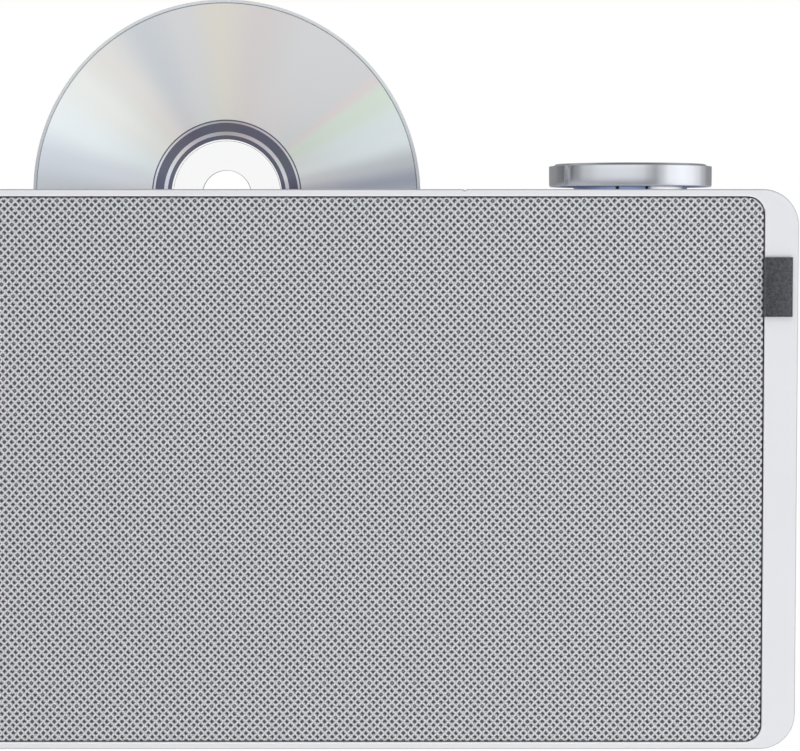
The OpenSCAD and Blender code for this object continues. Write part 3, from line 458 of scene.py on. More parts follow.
@shared("Plain Weave", ("Vector", "Threads"), ("Height", "Over"))
def weave_group(net, vector, threads):
    """A plain weave of round threads: its height, and which thread is on top."""
    x, y, _ = net.split(vector)
    u, v = x * threads, y * threads
    over = abs(net.calc("MODULO", math.floor(u) + math.floor(v), 2.0))
    warp, weft = (abs(net.calc("SINE", along * math.pi)) for along in (u, v))
    return net.out("Mix", 0, {0: over, 2: warp, 3: weft}, data_type="FLOAT"), over


@shared("Rounded Outline", ("Vector", "Half Width", "Half Height", "Radius"), ("Distance",))
def outline_group(net, vector, half_width, half_height, radius):
    """Distance outside a rounded rectangle that stands upright across the front."""
    x, _, z = net.split(vector)
    out_x, out_z = abs(x) - (half_width - radius), abs(z) - (half_height - radius)
    beyond = net.length(net.calc("MAXIMUM", out_x, 0.0), net.calc("MAXIMUM", out_z, 0.0))
    within = net.calc("MINIMUM", net.calc("MAXIMUM", out_x, out_z), 0.0)
    return (beyond + within - radius,)


def spaced(values):
    """The values with a space for each underscore in their names."""
    return {name.replace("_", " "): value for name, value in values.items()}


class Skin(Net):
    """A material: a node tree with a Principled shader, and the calls that finish it."""

    def __init__(self, name, colour, roughness, metal=0.0, **plain):
        self.material = bpy.data.materials.new(name)
        self.material.use_nodes = True
        super().__init__(self.material.node_tree)
        self.material.diffuse_color = colour if len(colour) == 4 else (*colour, 1)
        self.colour = self.material.diffuse_color[:]
        self.roughness = roughness
        self.surface = self.add("BsdfPrincipled", {"Base Color": self.colour, "Roughness": roughness,
                                                   "Metallic": metal, **spaced(plain)})
        self.end("OutputMaterial", self.surface)
        self.place = self.out("TexCoord", "Object")

    def use(self, group, **inputs):
        """The outputs of a node group that is given these inputs."""
        node = self.tree.nodes.new("ShaderNodeGroup")
        node.node_tree = group
        for key, value in spaced(inputs).items():
            self.plug(node.inputs[key], value)
        return [Value(self, socket) for socket in node.outputs]

    def tint(self, colour):
        self.plug(self.surface.inputs["Base Color"], colour)

    def roughen(self, roughness):
        self.plug(self.surface.inputs["Roughness"], roughness)

    def raise_by(self, height, distance, strength=1.0):
        self.plug(self.surface.inputs["Normal"], self.out("Bump", 0,
                                                          {"Height": height, "Distance": distance,
                                                           "Strength": strength}))

    def age(self, grain=900.0, mottle=0.05, depth=0.01 * MM, wear=0.06, extra=None):
        """Grain, tone and handling over the plain colour. extra is a height added to the grain's."""
        tone, height = self.use(grain_group(), Vector=self.place, Scale=grain, Mottle=mottle)
        rough, specks = self.use(
            handling_group(), Vector=self.place, Roughness=self.roughness, Amount=wear)
        toned = self.shaded(self.colour[:3], tone)
        self.tint(self.blend(specks * 0.6, toned, (0.55, 0.54, 0.52)))
        self.roughen(rough)
        self.raise_by(height if extra is None else height + extra, depth)
        return toned


# ---------- finishes ----------
# for each look of a hole: the thread end's place along both threads, and how far it fills the hole
HOLE_LOOKS = ((0.0, 0.28, 0.85), (0.0, 0.0, 0.12), (-0.26, 0.0, 0.75), (0.26, 0.0, 0.7),
              (0.18, -0.18, 0.9), (0.3, 0.04, 0.8), (-0.2, 0.2, 0.85), (-0.24, 0.24, 0.9),
              (0.02, -0.02, 0.5))
# the housing's outline in front: its corners, the opening's corners and the rim round the opening
CORNER, OPENING_CORNER, SIDE_RIM, TOP_RIM = 10.5 * MM, 5.2 * MM, 9.8 * MM, 2.05 * MM


def housing_paint():
    """Satin paint, with a grey line of painted shade on the outer corner and a painted highlight
    round the opening.
    """
    colour = bpy.context.scene.player_finish.housing
    skin = Skin("Satin housing paint", tuple(colour), 0.5, Specular_IOR_Level=0.3)
    toned = skin.age(grain=1500.0, mottle=0.02, depth=0.004 * MM, wear=0.05)
    half = (high("housing_band") - low("housing_band")) / 2
    local = skin.moved(skin.place, place=middle("housing_band"))
    (outer,) = skin.use(
        outline_group(), Vector=local, Radius=CORNER, Half_Width=half[0], Half_Height=half[2])
    (inner,) = skin.use(outline_group(), Vector=local, Radius=OPENING_CORNER,
                        Half_Width=half[0] - SIDE_RIM, Half_Height=half[2] - TOP_RIM)
    _, depth, _ = skin.split(local)
    front = skin.step(depth, 0.7 * MM - half[1], 0.4 * MM - half[1])
    # painted shade: a grey line along the rounded outer corner of the front
    painted_edge_shade = front * skin.step(outer, -0.42 * MM, -0.16 * MM)
    # painted highlight: a near-white line round the opening's edge
    bright = front * skin.step(inner, 0.5 * MM, 0.3 * MM)
    toned = skin.blend(bright, toned, paint(252, 252, 253))
    skin.tint(skin.blend(painted_edge_shade * 0.8, toned, paint(148, 148, 154)))
    return skin.material


def panel_paint():
    colour = bpy.context.scene.player_finish.housing
    skin = Skin("Satin panel paint", tuple(c * 0.98 for c in colour), 0.46, Specular_IOR_Level=0.3)
    skin.age(grain=1800.0, mottle=0.02, depth=0.004 * MM, wear=0.06)
    return skin.material


def moulded(name, tone, roughness, grain=2600.0, depth=0.03, mottle=0.08, wear=0.08, **plain):
    """A moulded, cast or painted skin of this tone from 0 to 255, with its grain's depth in mm."""
    skin = Skin(name, paint(*tone), roughness, **plain)
    skin.age(grain=grain, mottle=mottle, depth=depth * MM, wear=wear)
    return skin.material


def drawn_metal(name, tone, roughness, lines=2400.0, axis="X"):
    """Rolled or drawn metal of this tone from 0 to 255, with fine lines along one axis."""
    skin = Skin(name, paint(*tone), roughness, 1.0)
    turn = {"X": (0, 0, 0), "Y": (0, 0, math.pi / 2), "Z": (0, math.pi / 2, 0)}[axis]
    (streak,) = skin.use(brushed_group(), Vector=skin.moved(skin.place, turn=turn), Lines=lines)
    rough, specks = skin.use(handling_group(), Vector=skin.place, Roughness=roughness, Amount=0.1)
    toned = skin.shaded(skin.colour[:3], streak * 0.3 + 0.85)
    skin.tint(skin.blend(specks * 0.5, toned, (0.2, 0.2, 0.2)))
    skin.roughen(streak * 0.16 + rough)
    skin.raise_by(streak, 0.006 * MM)
    return skin.material


def felt():
    skin = Skin("Black felt", paint(44, 44, 47), 0.95, Sheen_Weight=0.5, Sheen_Roughness=0.6)
    hair = skin.noise(skin.place, 5200.0, 6.0, 0.8)
    skin.age(grain=3800.0, mottle=0.25, depth=0.14 * MM, wear=0.05, extra=hair)
    return skin.material


def printed_board():
    """Green solder mask over copper lines, with dark parts standing on its front."""
    skin = Skin("Green circuit board", paint(26, 96, 52), 0.38, Coat_Weight=0.3)
    x, y, z = skin.split(skin.place)
    flat = skin.join(x, z, 0.0)
    lines = skin.out("TexBrick", "Fac", {"Vector": flat, "Scale": 210.0, "Mortar Size": 0.035,
                                         "Brick Width": 1.7, "Row Height": 0.42})
    pads = skin.out("TexVoronoi", 0, {"Vector": flat, "Scale": 260.0}, voronoi_dimensions="2D")
    pad = skin.step(pads, 0.2, 0.14)
    mask = skin.blend(lines, paint(22, 88, 46), paint(44, 128, 74))
    mask = skin.blend(pad, mask, paint(205, 190, 150))
    front = high("main_board")[1] - 1.6 * MM
    part_face = skin.step(y, front - 0.1 * MM, front - 0.4 * MM)
    part = skin.ramp(
        skin.noise(skin.place, 60.0, 1.0), [(0.3, paint(26, 26, 28)), (0.7, paint(46, 48, 54))])
    skin.tint(skin.blend(part_face, mask, part))
    skin.raise_by(lines + pad, 0.02 * MM)
    skin.roughen(skin.noise(skin.place, 400.0) * 0.2 + 0.28)
    return skin.material


def cone_paper():
    """Pressed pulp with fibres, coated."""
    skin = Skin("Pressed pulp", paint(74, 74, 77), 0.8)
    fibre = skin.out("TexWave", "Fac", {"Vector": skin.place, "Scale": 180.0, "Distortion": 18.0,
                                        "Detail": 4.0, "Detail Scale": 3.0})
    skin.age(grain=2400.0, mottle=0.2, depth=0.06 * MM, wear=0.05, extra=fibre)
    return skin.material


def tag_cloth():
    """Close dark twill with paler flecks and painted light that grows towards its fold, paler along
    the grille's edge, with painted shade in the fold and along its lower edge.
    """
    colour = tuple(bpy.context.scene.player_cloth.tag)
    skin = Skin("Woven tag", colour, 0.86, Specular_IOR_Level=0.2, Sheen_Weight=0.15)
    lowest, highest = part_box("side_tag")
    x, _, z = skin.split(skin.place)
    height, over = skin.use(weave_group(), Vector=skin.join(x, z, 0.0), Threads=2300.0)
    fleck = (skin.noise(skin.place, 1500.0, 3.0, 0.7) - 0.5) * 5.0 + 0.5
    # painted light: the tag grows paler towards its folded end
    painted_light_ramp = skin.step(x, lowest[0], highest[0])
    at_grille = skin.step(x - lowest[0], 0.9 * MM, 0.4 * MM)
    shade = over * 0.2 + 0.55 + fleck * 0.5 + painted_light_ramp * 0.3 + at_grille * 0.5
    # painted shade: darker in the fold at the tag's end and along its lower edge
    at_end = skin.step(highest[0] - x, 0.6 * MM, 0.2 * MM)
    painted_fold_shade = at_end + skin.step(z - lowest[2], 0.6 * MM, 0.2 * MM)
    skin.tint(skin.shaded(colour, skin.calc("MAXIMUM", shade - painted_fold_shade * 0.28, 0.2)))
    skin.raise_by(height + fleck, 0.1 * MM)
    return skin.material


def grille_net():
    """Pale threads crossing on the diagonal, with dark holes of nine looks, three by three."""
    cloth = bpy.context.scene.player_cloth
    skin = Skin("Grille net", tuple(cloth.thread), 0.85, Specular_IOR_Level=0.2)
    x, _, z = skin.split(skin.place)
    across = (x - cloth.lattice_x) / cloth.hole_pitch_x
    up = (z - cloth.lattice_z) / cloth.hole_pitch_z
    sway = (skin.noise(skin.place, 420.0, 1.0) - 0.5) * 0.16
    along, back = across + up + sway, across - up + sway
    cell_a, cell_b = math.floor(along + 0.5), math.floor(back + 0.5)
    local_a, local_b = along - cell_a, back - cell_b
    # which of the nine looks this hole has: where a thread's end stands and how far it fills it
    look = skin.calc("FLOORED_MODULO", cell_a, 3.0) * 3.0 + skin.calc("FLOORED_MODULO", cell_b, 3.0)
    stops = [(index / 9, (0.5 + a, 0.5 + b, fill, 1.0)) for index,
             (a, b, fill) in enumerate(HOLE_LOOKS)]
    shift_a, shift_b, fill = skin.split(skin.ramp((look + 0.5) / 9.0, stops, steps=True))
    # the hole is a rounded square along the threads
    wide_a, wide_b = abs(local_a), abs(local_b)
    reach = skin.length(local_a, local_b) * 0.45 + skin.calc("MAXIMUM", wide_a, wide_b) * 0.62
    fuzz = skin.noise(skin.place, 2600.0, 2.0, 0.8)
    hole = skin.step((fuzz - 0.5) * 0.16 + reach, 0.45, 0.22)
    gone = skin.length(local_a - (shift_a - 0.5), local_b - (shift_b - 0.5))
    hole = hole * (1.0 - skin.step(gone, 0.22, 0.06) * fill)
    # round threads: a painted highlight along their middle lines and painted shade in their laps
    painted_ridge_highlight = skin.calc("MAXIMUM", skin.step(wide_a, 0.34, 0.5), skin.step(wide_b, 0.34, 0.5))
    twist = skin.noise(skin.place, 2300.0, 3.0, 0.85)
    shade = skin.calc("MINIMUM", (twist - 0.5) * 2.1 + painted_ridge_highlight * 0.3 + 0.62, 1.08)
    painted_lap_shade = skin.step(skin.calc("MINIMUM", wide_a, wide_b), 0.36, 0.5)
    thread = skin.shaded(tuple(cloth.thread), skin.calc("MAXIMUM", shade - painted_lap_shade * 0.34, 0.2))
    skin.tint(skin.blend(hole, thread, tuple(cloth.hole)))
    skin.raise_by(-hole + twist * 0.35, 0.12 * MM, 0.5)
    return skin.material


def knob_aluminium():
    """Aluminium turned on its side and brushed round its edge."""
    colour = tuple(bpy.context.scene.player_finish.knob)
    skin = Skin("Brushed knob aluminium", colour, 0.24, 1.0)
    x, y, z = skin.split(skin.moved(skin.place, place=middle("knob")))
    turn = skin.calc("ARCTAN2", y, x)
    around = skin.join(turn * 0.025, skin.length(x, y), z)
    (streak,) = skin.use(brushed_group(), Vector=around, Lines=5200.0)
    rough, _ = skin.use(handling_group(), Vector=skin.place, Roughness=0.1, Amount=0.04)
    skin.tint(skin.shaded(colour, streak * 0.1 + 0.95))
    skin.roughen(streak * 0.03 + rough)
    skin.raise_by(streak, 0.0006 * MM)
    return skin.material


def knob_underside():
    """The blue anodised face under the knob's edge."""
    return moulded("Blue anodised underside", (200, 218, 255), 0.3, depth=0.01, mottle=0.05,
                   wear=0.05, metal=0.6)


def white_acetal():
    """White moulded plastic that lets a little light in."""
    return moulded("White acetal", (226, 224, 214), 0.4, depth=0.012, mottle=0.04,
                   Subsurface_Weight=0.1, Subsurface_Scale=0.001)


# the two dark marks on the collar, in degrees to the right of its front
COLLAR_MARKS = (-14.9, 14.6)


def collar_steel():
    colour = tuple(bpy.context.scene.player_finish.collar)
    skin = Skin("Blue collar", colour, 0.14, 0.85)
    toned = skin.age(grain=2200.0, mottle=0.06, depth=0.01 * MM, wear=0.08)
    x, y, _ = skin.split(skin.moved(skin.place, place=middle("knob")))
    turn = skin.calc("ARCTAN2", x, -y) * (180 / math.pi)
    # painted reflection: a near-white patch from 15 to 66 degrees right of the collar's front
    pale = skin.step(turn, 15.0, 21.0) * skin.step(turn, 66.0, 57.0)
    toned = skin.blend(pale, toned, paint(250, 250, 252))
    for mark in COLLAR_MARKS:
        off = abs(turn - mark)
        toned = skin.blend(skin.step(off, 2.2, 1.2), toned, paint(30, 32, 44))
    skin.tint(toned)
    return skin.material


def lens_glass():
    skin = Skin("Coated lens", paint(150, 180, 225), 0.03, Transmission_Weight=1.0, IOR=1.52,
                Coat_Weight=0.5)
    skin.roughen(skin.noise(skin.place, 800.0) * 0.05 + 0.01)
    return skin.material


# For each slot, the function that makes its finish and what it is given: for moulded the name, the
# tone, the roughness, the grain's fineness and depth, and its mottle; for drawn_metal the name, the
# tone, the roughness, the lines' fineness and their axis.
FINISHES = {
    "housing_paint": (housing_paint,),
    "panel_paint": (panel_paint,),
    "felt": (felt,),
    "blue_steel": (collar_steel,),
    "dark_board": (moulded, "Painted fibre board", (58, 58, 60), 0.8, 1400.0, 0.08, 0.2),
    "black_plastic": (moulded, "Black plastic", (34, 34, 36), 0.46, 2600.0, 0.02),
    "grille_net": (grille_net,),
    "tag_cloth": (tag_cloth,),
    "cover_plastic": (moulded, "Spark-textured cover", (206, 208, 212), 0.58, 2100.0, 0.06, 0.05),
    "screw_steel": (drawn_metal, "Zinc screws", (168, 169, 172), 0.34),
    "pin_nickel": (drawn_metal, "Nickel pins and rods", (214, 213, 210), 0.16, 3600.0),
    "rubber_black": (moulded, "Black rubber", (38, 38, 39), 0.72, 1900.0, 0.05, 0.08, 0.14),
    "board_green": (printed_board,),
    "heatsink_black": (drawn_metal, "Black anodised fins", (52, 53, 57), 0.42, 1800.0, "Z"),
    "white_plastic": (white_acetal,),
    "chassis_steel": (drawn_metal, "Zinc-plated sheet", (186, 189, 194), 0.32, 900.0, "Z"),
    "basket_steel": (moulded, "Black basket paint", (40, 40, 42), 0.4, 1200.0, 0.02),
    "cone_paper": (cone_paper,),
    "disc_mirror": (drawn_metal, "Disc silver", (212, 213, 216), 0.2),
    "brass_gear": (drawn_metal, "Brass pinion", (214, 182, 108), 0.26, 3000.0),
    "traverse_plastic": (moulded, "Glass-filled nylon", (52, 53, 55), 0.55, 1700.0, 0.04, 0.14),
    "lens_glass": (lens_glass,),
    "knob_aluminium": (knob_aluminium,),
    "bracket_steel": (drawn_metal, "Zinc-plated bracket", (196, 198, 202), 0.36, 700.0),
}


def material_for(slot):
    """The finish of a slot, made once and shared by its nodes."""
    label = "finish_" + slot
    for material in bpy.data.materials:
        if material.get("finish") == label:
            return material
    make, *given = FINISHES[slot]
    material = make(*given)
    material["finish"] = label
    return material


def dress(piece, *materials):
    piece.data.materials.clear()
    for material in materials:
        piece.data.materials.append(material)


def finish_nodes(slots):
    """Gives the CAD nodes of these slots their finish."""
    dressed = [node for node, slot in SLOT_OF.items() if slot in slots]
    if not dressed:
        raise RuntimeError(f"no node has a slot of {slots}")
    for node in dressed:
        dress(NODES[node], material_for(SLOT_OF[node]))


# ---------- operators: stage ----------
class PLAYER_OT_stage(bpy.types.Operator):
    """Set up the camera of the photograph, the pale floor, the lamps and the grey studio cards"""

    bl_idname = "player.stage"
    bl_label = "Stage"

    def execute(self, context):
        stage = context.scene.player_stage
        context.scene.view_settings.view_transform = "Standard"
        self.camera(context, stage)
        self.floor(stage)
        self.world(context, stage)
        self.lamps(stage)
        self.cards()
        return {"FINISHED"}

    def camera(self, context, stage):
        deselect()
        bpy.ops.object.camera_add(
            location=stage.camera_place, rotation=(math.pi / 2 - stage.camera_pitch, 0, 0))
        camera = context.active_object
        camera.name = "photo_camera"
        camera.data.sensor_width = 36
        camera.data.lens = stage.focal_pixels / stage.picture_width * camera.data.sensor_width
        camera.data.shift_x = 0.5 - stage.principal_x / stage.picture_width
        camera.data.clip_start = 0.01
        context.scene.camera = camera

    def floor(self, stage):
        level = CAD_BOX[0][2] - stage.floor_drop
        floor = begin(bpy.ops.mesh.primitive_plane_add, "floor", size=5, location=(0, 0, level))
        skin = Skin("Pale floor", (*stage.floor_colour, 1), 0.9)
        skin.age(grain=30.0, mottle=0.01, depth=0.1 * MM, wear=0.0)
        # paler to the camera without more light on the player, and white towards the floor's edges
        x, y, _ = skin.split(skin.place)
        away = skin.length(x, y)
        paler = skin.step(away, 0.9, 2.3) * 0.5 + 0.28
        skin.plug(skin.surface.inputs["Emission Color"], (1, 1, 1, 1))
        skin.plug(skin.surface.inputs["Emission Strength"],
                  skin.out("LightPath", "Is Camera Ray") * paler)
        dress(floor, skin.material)

    def world(self, context, stage):
        world = bpy.data.worlds.new("Studio")
        context.scene.world = world
        world.use_nodes = True
        net = Net(world.node_tree)
        camera, glossy, through = (
            net.out("LightPath", f"Is {ray} Ray") for ray in ("Camera", "Glossy", "Transmission"))
        seen = net.calc("MAXIMUM", camera, net.calc("MAXIMUM", glossy, through))
        strength = seen * (1 - stage.fill) + stage.fill
        net.end("OutputWorld", net.add("Background", {"Color": (1, 1, 1, 1), "Strength": strength}))

    def lamps(self, stage):
        aim = middle("housing_band")
        for name, place, size, power in (
                ("key_lamp", (0.7, -1.7, -0.75), (1.2, 0.9), stage.key),
                ("side_lamp", (2.0, -0.45, 0.3), (1.5, 1.6), stage.side),
                ("top_lamp", (-0.1, -0.7, 1.9), (1.8, 1.2), stage.top)):
            deselect()
            bpy.ops.object.light_add(type="AREA", location=place)
            lamp = bpy.context.active_object
            lamp.name = name
            lamp.data.shape = "RECTANGLE"
            lamp.data.size, lamp.data.size_y = size
            lamp.data.energy = power
            lamp.rotation_euler = (aim - Vector(place)).to_track_quat("-Z", "Y").to_euler()

    def cards(self):
        """A ring of grey cards round the player and one overhead, seen only in polished faces."""
        centre = middle("knob")
        ring = begin(bpy.ops.mesh.primitive_cylinder_add, "card_ring", vertices=96, radius=1.4,
                     depth=2.4, end_fill_type="NOTHING", location=centre)
        skin = Net(self.glow(ring, "Grey cards"))
        place = skin.moved(skin.out("TexCoord", "Object"), place=centre)
        x, y, z = skin.split(place)
        turn = skin.around(-y, x)
        tones = [(-180, 0.32), (-136, 0.34), (-119, 0.25), (-106, 0.15), (-94, 0.16), (-84, 0.38),
                 (-67, 0.76), (-43, 1.02), (-20, 1.06), (0, 1.06), (14, 0.98), (24, 0.72), (33, 0.5),
                 (41, 0.74), (55, 1.2), (75, 1.3), (92, 1.2), (108, 0.96), (120, 0.62), (137, 0.35),
                 (180, 0.28)]
        tone = skin.ramp(
            turn, [((angle + 180) / 360, (share, share, share, 1)) for angle, share in tones])
        # the left half is darker towards the horizon, and less so at its far end
        left = skin.step(turn, 0.63, 0.56) * (skin.step(turn, 0.2, 0.28) * 0.7 + 0.3)
        under = left * skin.step(z, 0.03, -0.1)
        tone = skin.blend(under * 0.85, tone, (0.12, 0.13, 0.15))
        self.light_up(skin, tone)
        roof = begin(bpy.ops.mesh.primitive_plane_add, "card_roof", size=1)
        lay(roof, (centre[0], 0.45, 1.15), scale=(3.4, 3.0, 1))
        skin = Net(self.glow(roof, "Dark card"))
        # dark straight above the knob, paler towards the back
        _, depth, _ = skin.split(skin.out("TexCoord", "Object"))
        self.light_up(
            skin, skin.blend(skin.step(depth, 0.2, 0.5), (0.22, 0.23, 0.25), (0.5, 0.51, 0.53)))

    def glow(self, card, name):
        """Hides the card from all but glossy rays and gives it a material to fill in."""
        card.visible_camera = card.visible_diffuse = card.visible_shadow = False
        card.visible_transmission = card.visible_volume_scatter = False
        material = bpy.data.materials.new(name)
        material.use_nodes = True
        dress(card, material)
        return material.node_tree

    def light_up(self, net, tone):
        net.end("OutputMaterial", net.add("Emission", {"Color": tone, "Strength": 1.0}))


# ---------- operators: housing and front ----------
class PLAYER_OT_housing(bpy.types.Operator):
    """Finish the housing band, the slot panel, the keys and the collar under the knob"""

    bl_idname = "player.housing"
    bl_label = "Housing"

    def execute(self, context):
        finish_nodes(["housing_paint", "panel_paint", "blue_steel"])
        return {"FINISHED"}


class PLAYER_OT_grille_cloth(bpy.types.Operator):
    """Stretch the net cloth over the grille frame and wrap it round the frame's edges"""

    bl_idname = "player.grille_cloth"
    bl_label = "Grille Cloth"

    # how far the cloth is wider than the CAD's on each side, its corners' width and its turn's depth
    GROW, CORNER, TURN = 0.12 * MM, 4.5 * MM, 0.4 * MM

    def execute(self, context):
        lowest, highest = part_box("grille_cloth")
        thick = context.scene.player_cloth.cloth_thickness
        front = lowest[1] + thick / 2
        width = highest[0] - lowest[0] - thick + 2 * self.GROW
        height = highest[2] - lowest[2] - thick + 2 * self.GROW
        wrap = highest[1] - lowest[1] - thick / 2
        piece = begin(bpy.ops.mesh.primitive_plane_add, "grille_net_cloth", size=1,
                      rotation=(math.pi / 2, 0, 0))
        across, _, up = middle("grille_cloth")
        lay(piece, (across, front, up), scale=(width, 1, height))
        edit(piece, "VERT")
        bpy.ops.mesh.bevel(offset=self.CORNER, segments=10, affect="VERTICES")
        bpy.ops.mesh.select_mode(type="FACE")
        bpy.ops.mesh.select_all(action="SELECT")
        # one rounded turn at the edge, then straight back
        bpy.ops.mesh.inset(thickness=self.TURN, use_even_offset=True)
        bpy.ops.mesh.select_all(action="DESELECT")
        bpy.ops.mesh.select_mode(type="EDGE")
        bpy.ops.mesh.select_non_manifold(extend=False, use_wire=False, use_boundary=True)
        bpy.ops.transform.translate(value=(0, self.TURN, 0))
        extrude(0, wrap - self.TURN, 0)
        bends = (front, front + self.TURN)
        choose(piece, "EDGE", lambda place, along: min(abs(place[1] - y) for y in bends) < 0.01 * MM)
        bpy.ops.mesh.bevel(offset=0.16 * MM, segments=3)
        turn_outwards()
        modify(piece, "SOLIDIFY", thickness=thick, offset=0)
        leave(40)
        hand_in(piece, "case", "grille_net", "grille_cloth")
        return {"FINISHED"}


class PLAYER_OT_side_tag(bpy.types.Operator):
    """Fold the woven tag out of the grille's edge over the rim"""

    bl_idname = "player.side_tag"
    bl_label = "Side Tag"

    def execute(self, context):
        layer = context.scene.player_cloth.tag_layer
        lowest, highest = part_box("side_tag")
        front = lowest[1] + layer / 2
        back = front + layer * 1.12
        fold_r = (back - front) / 2
        path = [(lowest[0] + layer / 2, highest[1]), (lowest[0] + layer / 2, front + 0.5 * MM),
                (lowest[0] + layer * 0.8, front + 0.12 * MM), (lowest[0] + 0.7 * MM, front)]
        reach = highest[0] - fold_r - layer / 2
        start = path[-1][0]
        path += [(start + (reach - start) * share / 6, front) for share in range(1, 7)]
        path += [(reach + fold_r * math.sin(math.radians(a)),
                  front + fold_r * (1 - math.cos(math.radians(a)))) for a in range(30, 181, 30)]
        path += [(reach + (start + 0.5 * MM - reach) * share / 6, back) for share in range(1, 7)]
        piece = begin(bpy.ops.mesh.primitive_grid_add, "woven_side_tag", x_subdivisions=1,
                      y_subdivisions=18, size=1)
        edit(piece, "VERT")
        choose(piece, "VERT", lambda place, normal: place[0] > 0)
        bpy.ops.mesh.delete(type="VERT")
        leave()
        lay(piece, (0, 0, 0), (math.pi / 2, 0, 0), (1, highest[2] - lowest[2], 1))
        lay(piece, (path[0][0] - piece.data.vertices[0].co[0], path[0][1], middle("side_tag")[2]))
        edit(piece, "EDGE")
        for (x0, y0), (x1, y1) in zip(path, path[1:]):
            extrude(x1 - x0, y1 - y0, 0)
        turn_outwards()
        modify(piece, "SOLIDIFY", thickness=layer, offset=0)
        modify(piece, "BEVEL", width=0.05 * MM, segments=2, limit_method="ANGLE",
               angle_limit=math.radians(60))
        leave(50)
        hand_in(piece, "case", "tag_cloth", "side_tag")
        return {"FINISHED"}


class PLAYER_OT_slot_felts(bpy.types.Operator):
    """Line both sides of the slot's throat with felt"""

    bl_idname = "player.slot_felts"
    bl_label = "Slot Felts"

    def execute(self, context):
        lowest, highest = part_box("slot_felts")
        across, _, up = middle("slot_felts")
        thick = 1 * MM
        for name, side in (("slot_felt_front", -1), ("slot_felt_rear", 1)):
            face = lowest[1] if side < 0 else highest[1]
            piece = begin(bpy.ops.mesh.primitive_cube_add, name, size=1)
            lay(piece, (across, face - side * thick / 2, up),
                scale=(highest[0] - lowest[0], thick, highest[2] - lowest[2]))
            edit(piece, "EDGE")
            bpy.ops.mesh.bevel(offset=0.3 * MM, segments=3)
            choose(piece, "EDGE", lambda place, along: abs(along[0]) > 50 * MM)
            bpy.ops.mesh.subdivide(number_cuts=60)
            choose(piece, "VERT", lambda place, normal: abs(normal[1]) > 0.9)
            bpy.ops.transform.vertex_random(offset=0.03 * MM, uniform=0.0, normal=1.0, seed=11 + side)
            leave(40)
            hand_in(piece, "case", "felt", *(["slot_felts"] if side < 0 else []))
        return {"FINISHED"}


# ---------- operators: disc and knob ----------
SHEEN = {"silver": (205, 206, 208), "cool": (220, 228, 231), "cyan": (215, 224, 226),
         "ice": (237, 244, 248), "white": (232, 235, 233), "pearl": (221, 220, 218),
         "blush": (204, 200, 201), "slate": (196, 201, 206), "haze": (222, 229, 239),
         "sand": (210, 207, 199), "mint": (207, 219, 208), "rose": (213, 205, 206),
         "steel": (192, 197, 203), "lavender": (156, 161, 175), "mist": (218, 224, 233)}
# painted reflection: faint rainbow spokes on the disc, by their angle in degrees from the right
SPOKES = ((-180, "haze"), (-164, "ice"), (-144, "white"), (-118, "silver"), (-90, "sand"),
          (-60, "silver"), (-28, "blush"), (-14, "cyan"), (-3, "steel"), (4, "lavender"),
          (10, "steel"), (17, "cool"), (24, "cyan"), (31, "mint"), (34, "mint"), (37, "rose"),
          (41, "silver"), (60, "silver"), (78, "blush"), (92, "sand"), (103, "silver"),
          (117, "slate"), (131, "pearl"), (144, "white"), (158, "ice"), (169, "mist"),
          (180, "steel"))
# the same round the hub, six times over
HUB_SHEEN = ((0.0, (216, 203, 204)), (0.35, (212, 210, 202)), (0.7, (204, 212, 209)),
             (1.0, (216, 203, 204)))


def painted_disc_reflection(net, colour, centre):
    """A painted reflection: the faint rainbow spokes that a disc shows, as a tint by the angle round
    its centre.
    """
    x, _, z = net.split(net.moved(net.place, place=centre))
    turn, radius = net.around(x, z), net.length(x, z)
    curl = (net.noise(net.place, 26.0, 1.0) - 0.5) * 0.012
    tint = net.ramp(
        turn + curl, [((angle + 180) / 360, paint(*SHEEN[name])) for angle, name in SPOKES])
    near = net.step(radius, 44 * MM, 22 * MM)
    hub = net.ramp(
        net.calc("FRACT", turn * 6.0), [(share, paint(*tone)) for share, tone in HUB_SHEEN])
    shade = net.vector("DIVIDE", tuple(colour), paint(212, 213, 216)[:3])
    return net.vector("MULTIPLY", net.blend(near * 0.35, tint, hub), shade), radius


def disc_silver(centre, colour):
    """The recorded area: silver, finely grooved round the centre, with a painted reflection of faint
    rainbow spokes.
    """
    skin = Skin("Recorded silver", (*colour, 1), 0.26, 0.7)
    tint, radius = painted_disc_reflection(skin, colour, centre)
    skin.tint(tint)
    groove = skin.out("TexNoise", "Fac", {"W": radius * 9000.0, "Scale": 1.0, "Detail": 3.0},
                      noise_dimensions="1D")
    skin.roughen(groove * 0.012 + 0.26)
    skin.raise_by(groove, 0.00002 * MM)
    return skin.material


def disc_band(name, colour, rough, centre, upright=1.0):
    """A plain mirror band round the hub, with painted reflection that is darkest straight above and
    below it.
    """
    skin = Skin(name, colour, rough, 1.0)
    tint, radius = painted_disc_reflection(skin, (0.66, 0.66, 0.69), centre)
    x, _, _ = skin.split(skin.moved(skin.place, place=centre))
    # painted reflection: the tint is darker straight above and below the hub than at its sides
    side = abs(x / skin.calc("MAXIMUM", radius, MM))
    tint = skin.shaded(tint, side * (1 - upright) + upright)
    skin.tint(skin.vector("MULTIPLY", tint, colour[:3]))
    skin.roughen(skin.noise(skin.place, 300.0) * 0.06 + rough)
    return skin.material


def disc_clear():
    skin = Skin("Clear polycarbonate", (0.925, 0.925, 0.93, 1), 0.02, Transmission_Weight=1.0,
                IOR=1.45)
    skin.roughen(skin.noise(skin.place, 500.0, 4.0) * 0.04)
    return skin.material


